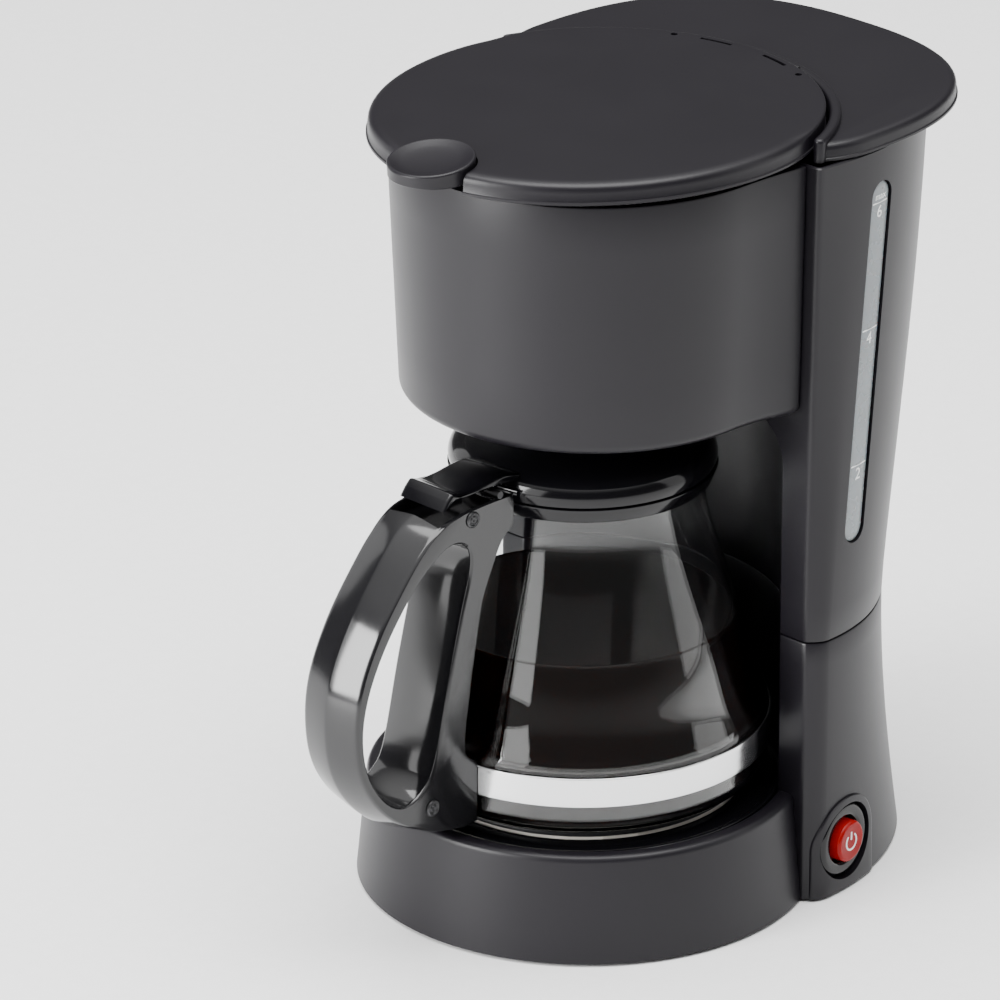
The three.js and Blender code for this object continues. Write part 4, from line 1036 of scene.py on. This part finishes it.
def carried_nodes():
    """The CAD nodes that stay get their finish here."""
    looks = {
        BLACK: ["base_plate", "water_tank"],
        SILICONE: ["plate_seal", "inlet_tube", "riser_tube", "valve_seal"],
        STEEL: ["heater_clamp", "heater_stud", "clamp_nut", "check_ball"],
        ALUMINIUM: ["heater_block", "boiler_tube", "thermostat"],
        SCREW: [*(f"base_screw_{k}" for k in (1, 2, 3, 4)),
                # The lid pins take the dark steel so that, seen down the lid's vents, they read as shade
                # there: painted shade.
                "lid_pin_left", "lid_pin_right", "carafe_lid_pin"],
        WHITE: ["thermal_fuse", "check_valve", "switch_body", "shower_arm"],
    }
    for material, nodes in looks.items():
        for node in nodes:
            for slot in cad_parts[node].material_slots:
                slot.link = "OBJECT"
                slot.material = material


# ---------------------------------------------------------------- studio
def studio():
    size = 6.0
    mesh = bpy.data.meshes.new("floor")
    corners = [(-size, -size, 0), (size, -size, 0), (size, size, 0), (-size, size, 0)]
    mesh.from_pydata(corners, [], [(0, 1, 2, 3)])
    floor = bpy.data.objects.new("floor", mesh)
    bpy.context.scene.collection.objects.link(floor)
    mesh.materials.append(paint("floor_pale", (0.90, 0.90, 0.90), 0.6))

    world = bpy.data.worlds.new("studio")
    bpy.context.scene.world = world
    world.use_nodes = True
    sky(world.node_tree)

    softbox("top", (0.1, -0.1, 1.9), (0.0, 0.0, 0.15), 1.7, 1.4, 60)
    softbox("front", (-0.37, -1.61, 0.58), (0.0, 0.0, 0.12), 1.5, 0.95, 16)
    softbox("front_strip", (-0.35, -1.42, 0.52), (0.0, 0.0, 0.12), 0.46, 0.85, 30)
    softbox("left_wall", (-1.7, -0.2, 0.55), (0.0, 0.0, 0.12), 0.8, 1.0, 4)
    softbox("right_wall", (1.35, 1.1, 0.7), (0.0, 0.0, 0.15), 0.8, 1.3, 5)


def sky(tree):
    """Bright overhead and dim towards the horizon."""
    direction = tree.nodes.new("ShaderNodeTexCoord")
    parts = tree.nodes.new("ShaderNodeSeparateXYZ")
    ramp = tree.nodes.new("ShaderNodeValToRGB")
    tree.links.new(direction.outputs["Generated"], parts.inputs["Vector"])
    tree.links.new(parts.outputs["Z"], ramp.inputs["Fac"])
    stops = ((0.0, 0.13), (0.10, 0.055), (0.26, 0.05), (0.50, 0.08), (0.74, 0.60), (1.0, 0.95))
    while len(ramp.color_ramp.elements) < len(stops):
        ramp.color_ramp.elements.new(0.5)
    for element, (height, grey) in zip(ramp.color_ramp.elements, stops):
        element.position = height
        element.color = (grey, grey, grey, 1)
    background = tree.nodes["Background"]
    tree.links.new(ramp.outputs["Color"], background.inputs["Color"])
    background.inputs["Strength"].default_value = 2.6


def softbox(name, place, target, width, height, power):
    light = bpy.data.lights.new(name, "AREA")
    light.shape = "RECTANGLE"
    light.size = width
    light.size_y = height
    light.energy = power
    lamp = bpy.data.objects.new(name, light)
    lamp.location = place
    lamp.rotation_euler = (Vector(target) - Vector(place)).to_track_quat("-Z", "Y").to_euler()
    bpy.context.scene.collection.objects.link(lamp)


def camera():
    """Seen from the front right and above, from far enough that the uprights stay nearly parallel."""
    azimuth, elevation, roll = math.radians(44.74), math.radians(23.236), math.radians(-0.077)
    distance, focal_mm = 2112.3, 266.97
    back = Vector((math.sin(azimuth) * math.cos(elevation), -math.cos(azimuth) * math.cos(elevation),
                   math.sin(elevation)))
    target = Vector((67.25, -103.44, 175.03))
    lens = bpy.data.cameras.new("camera")
    lens.lens = focal_mm
    lens.sensor_width = 36
    lens.clip_end = 50
    view = bpy.data.objects.new("camera", lens)
    view.location = metres(target + back * distance)
    upright = back.to_track_quat("Z", "Y").to_matrix()
    view.rotation_euler = (upright @ Matrix.Rotation(roll, 3, "Z")).to_euler()
    bpy.context.scene.collection.objects.link(view)
    bpy.context.scene.camera = view


# ---------------------------------------------------------------- the whole object
camera()
studio()
carried_nodes()
base_casing()
tower_casing()
gauge_window()
gauge_marks()
switch_parts()
brew_head()
filter_parts()
lid_casing()
lid_thumb_tab()
rear_cover()
carafe_glass()
coffee()
carafe_trim()
carafe_handle()
carafe_lid()
plates()
feet()
cord_gland()
